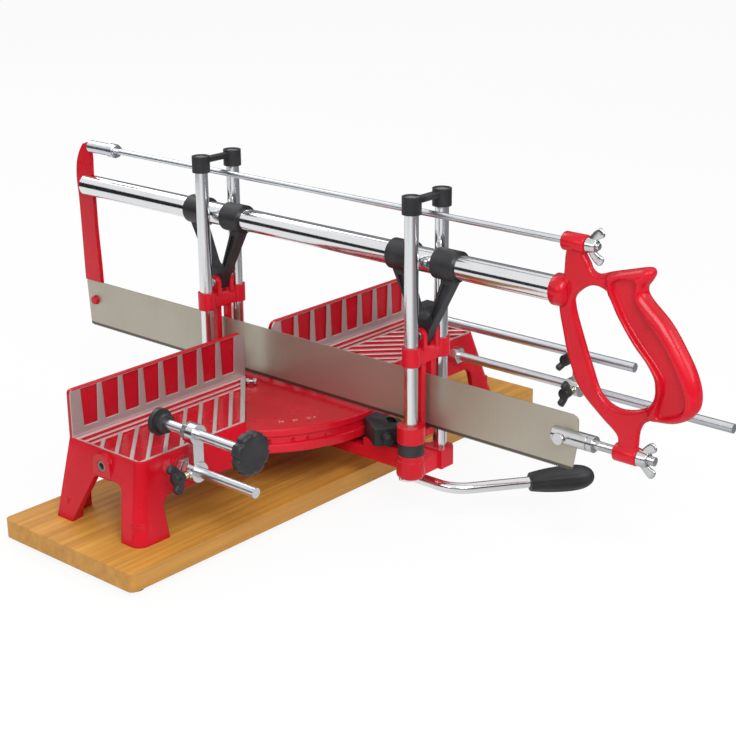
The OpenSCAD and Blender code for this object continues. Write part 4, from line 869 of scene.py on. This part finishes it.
coil = (spring_foot + (WIRE_R + coil_t * (spring_length - 2 * WIRE_R)) * SPRING_WAY
        + SPRING_R * (np.cos(coil_angle) * coil_side + np.sin(coil_angle) * np.array([0.0, 0.0, 1.0])))
coil_wire = WIRE_R * np.sqrt(np.clip(1 - (2 * coil_t[:, 0] - 1) ** 40, 0, 1))
index_coil = piece("index_coil", [carried(coil, coil_wire, coil_wire, SPRING_WAY, square=1.0, steps=12)],
                   zinc_finish.material, "arm", ["index_spring"])
tuple(spring_foot * MM)
1 - PIN_PULL / spring_length
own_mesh(index_coil)
print("index coil", round(spring_length, 2), "mm long")

# %% [markdown]
# ## Marks on the sector
# The angles are cast into the sector as low raised numbers near its rim, and their tops carry pale patches
# of painted highlight. They could be painted on by a mask, but raised numbers catch the light. A number is
# Blender's own text, made a mesh and laid on the plate, so that it reads from the handle's side.


# %% Angle numbers
SECTOR_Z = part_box("sector")[1].z / MM
NUMBER_R, NUMBER_SIZE, NUMBER_RISE = 109.0, 4.6, 0.25
mark_finish = Finish("highlight_mark")
mark_place, mark_red, mark_rough, mark_relief = enamel(mark_finish)
# Painted highlight: pale patches on the raised numbers stand in for light catching their tops.
mark_highlight = mark_finish.ramp(mark_finish.noise(mark_place, 500.0, 3.0), 0.25, 0.6)
mark_colour = mark_finish.blend(mark_highlight, mark_red, (0.80, 0.36, 0.33, 1))
mark_finish.feed(base_color=mark_colour, roughness=mark_rough)
mark_finish.set(coat_weight=0.12, coat_roughness=0.06, specular_ior_level=0.3)
mark_finish.relief(mark_relief, 0.0004, 0.25, edge=0.0003)


def radial(angle, radius):
    """A point on the sector, its angle counted from the line towards the handle."""
    return np.array([radius * math.sin(angle), -radius * math.cos(angle), SECTOR_Z])


def number(words, degrees):
    """A raised number on the sector, its foot towards the rim."""
    font = bpy.data.curves.new("number", "FONT")
    font.body = words
    font.align_x = "CENTER"
    font.size = NUMBER_SIZE * MM
    font.extrude = NUMBER_RISE * MM
    font.resolution_u = 3
    text = bpy.data.objects.new("number", font)
    mesh = bpy.data.meshes.new_from_object(text)
    bpy.data.objects.remove(text)
    turn = math.radians(degrees)
    place = Vector(radial(turn, NUMBER_R) * MM)
    mesh.transform(Matrix.Translation(place) @ Matrix.Rotation(turn, 4, "Z"))
    mesh.materials.clear()
    mesh.materials.append(mark_finish.material)
    name = "number_" + ("left_" if degrees < 0 else "right_") + words.replace(".", "_")
    made = bpy.data.objects.new(name, mesh)
    bpy.context.scene.collection.objects.link(made)
    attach(made, "base")


for degrees in (-36, -30, -22.5, 22.5, 30, 36):
    number(format(abs(degrees), "g"), degrees)
print("six numbers on the sector")

# %% [markdown]
# ## Studio
# The saw stands on white. More light could bleach the floor, but it would bleach the red too. So the
# lamps stay at a plain level, and the floor and the world are white by themselves, to the camera and in
# reflections. Only to the right does the floor turn grey in reflections, because bright metal needs
# something dark to look round.

# %% Floor and world
floor_mesh = bpy.data.meshes.new("floor")
floor_mesh.from_pydata([(-6, -6, 0), (6, -6, 0), (6, 6, 0), (-6, 6, 0)], [], [(0, 1, 2, 3)])
floor = bpy.data.objects.new("floor", floor_mesh)
bpy.context.scene.collection.objects.link(floor)
floor_finish = Finish("white_floor")
floor_finish.set(base_color=(0.90, 0.90, 0.90, 1), roughness=0.7)
direct = floor_finish.ray("Camera")
seen = direct.largest(floor_finish.ray("Glossy"))
floor_x, floor_y, _ = floor_finish.xyz(floor_finish.place())
shade = floor_finish.ramp(floor_x * 0.66 - floor_y * 0.75, 0.0, 0.6) * (1 - direct)
glow = floor_finish.node("ShaderNodeEmission", inputs={
    "Color": floor_finish.blend(shade, (1, 1, 1, 1), (0.16, 0.17, 0.19, 1)), "Strength": 1.0})
paper = Wire(floor_finish.tree, floor_finish.shader.outputs[0])
mixed = floor_finish.node("ShaderNodeMixShader", inputs={0: seen * 0.9, 1: paper, 2: glow})
floor_finish.tree.links.new(mixed.socket, floor_finish.tree.nodes["Material Output"].inputs["Surface"])
floor_mesh.materials.append(floor_finish.material)

world = bpy.data.worlds.new("studio")
bpy.context.scene.world = world
world.use_nodes = True
sky = Graph(world.node_tree)
bright = sky.ray("Camera").largest(sky.ray("Glossy")).largest(sky.ray("Transmission"))
backdrop = sky.tree.nodes["Background"]
backdrop.inputs["Color"].default_value = (1, 1, 1, 1)
join(sky.tree, bright * 0.45 + 0.55, backdrop.inputs["Strength"])
print("white floor and world set")


# %% [markdown]
# A studio has dark corners too, and chrome shows them. An image of a room could light the world, but a
# few plain walls are easier to place. A low dark screen stands all round with a nearer one on the left,
# and they draw the dark line along the tube. A grey screen behind the saw shades the tube's upper edge.
# All three show only in reflections.

# %% Screens for reflections
SCREEN_STEPS = 97


def screen(name, radius, turns, heights, grey):
    """A piece of a round wall between two angles and two heights, seen only in reflections."""
    angle = np.linspace(math.radians(turns[0]), math.radians(turns[1]), SCREEN_STEPS)
    ring = np.stack([radius * np.cos(angle), radius * np.sin(angle)], -1)
    wall = np.stack([np.column_stack([ring, np.full(SCREEN_STEPS, height)]) for height in heights])
    wall_points, wall_faces = skin(wall, wrap_v=False)
    wall_mesh = bpy.data.meshes.new(name)
    wall_mesh.from_pydata(wall_points.tolist(), [], wall_faces.tolist())
    made = bpy.data.objects.new(name, wall_mesh)
    bpy.context.scene.collection.objects.link(made)
    finish = Finish(name)
    finish.set(base_color=(grey, grey, grey * 1.05, 1), roughness=0.9, specular_ior_level=0.0)
    wall_mesh.materials.append(finish.material)
    for ray in ("camera", "diffuse", "transmission", "shadow"):
        setattr(made, "visible_" + ray, False)
    print(name, "stands from", turns[0], "to", turns[1], "degrees")


screen("dark_screen", 1.5, (0, 360), (0.02, 0.46), 0.02)
screen("tube_screen", 0.95, (95, 190), (0.05, 0.47), 0.02)
screen("grey_screen", 2.2, (-20, 75), (0.10, 2.2), 0.30)


# %% [markdown]
# Four softboxes light the saw: a large key from the front left, and weaker ones from the front right, the
# back and the left. Small lamps would give hard shadows, which the white floor would show. The camera
# looks from the left of the handle. It could be placed by eye, but here its place, turn and focal length
# are worked out from the sizes of the saw, so that the solids and the picture agree.

# %% Lamps
def softbox(name, place, target, size, power):
    """A square area lamp that looks at a point."""
    lamp = bpy.data.lights.new(name, "AREA")
    lamp.size = size
    lamp.energy = power
    made = bpy.data.objects.new(name, lamp)
    made.location = place
    made.rotation_euler = (Vector(target) - Vector(place)).to_track_quat("-Z", "Y").to_euler()
    bpy.context.scene.collection.objects.link(made)


softbox("key_lamp", (-1.0, -1.4, 1.6), (0, -0.05, 0.1), 1.1, 30)
softbox("side_lamp", (0.6, -1.9, 1.1), (0, -0.1, 0.1), 0.9, 9)
softbox("back_lamp", (0.4, 1.7, 1.5), (0, 0, 0.1), 1.0, 10)
softbox("left_lamp", (-1.9, 0.1, 0.9), (0, 0, 0.1), 1.0, 5)
print("four softboxes lit")

# %% Camera
FOCAL_PIXELS, PICTURE_PIXELS, SENSOR = 1566.428, 736, 36.0
eye = Vector((-0.890723, -0.901939, 0.532215))
yaw, pitch, roll = 0.8528, 0.34212, -0.007
forward = Vector((math.sin(yaw) * math.cos(pitch), math.cos(yaw) * math.cos(pitch), -math.sin(pitch)))
right = Vector((math.cos(yaw), -math.sin(yaw), 0))
up = right.cross(forward)
level_right = right * math.cos(roll) + up * math.sin(roll)
level_up = up * math.cos(roll) - right * math.sin(roll)
camera_data = bpy.data.cameras.new("photo_camera")
camera_data.sensor_width = SENSOR
camera_data.lens = FOCAL_PIXELS / PICTURE_PIXELS * SENSOR
camera = bpy.data.objects.new("photo_camera", camera_data)
camera.matrix_world = Matrix((
    (level_right.x, level_up.x, -forward.x, eye.x),
    (level_right.y, level_up.y, -forward.y, eye.y),
    (level_right.z, level_up.z, -forward.z, eye.z),
    (0, 0, 0, 1)))
bpy.context.scene.collection.objects.link(camera)
bpy.context.scene.camera = camera
bpy.context.scene.view_settings.view_transform = "Standard"
print("camera at", [round(c, 3) for c in eye])
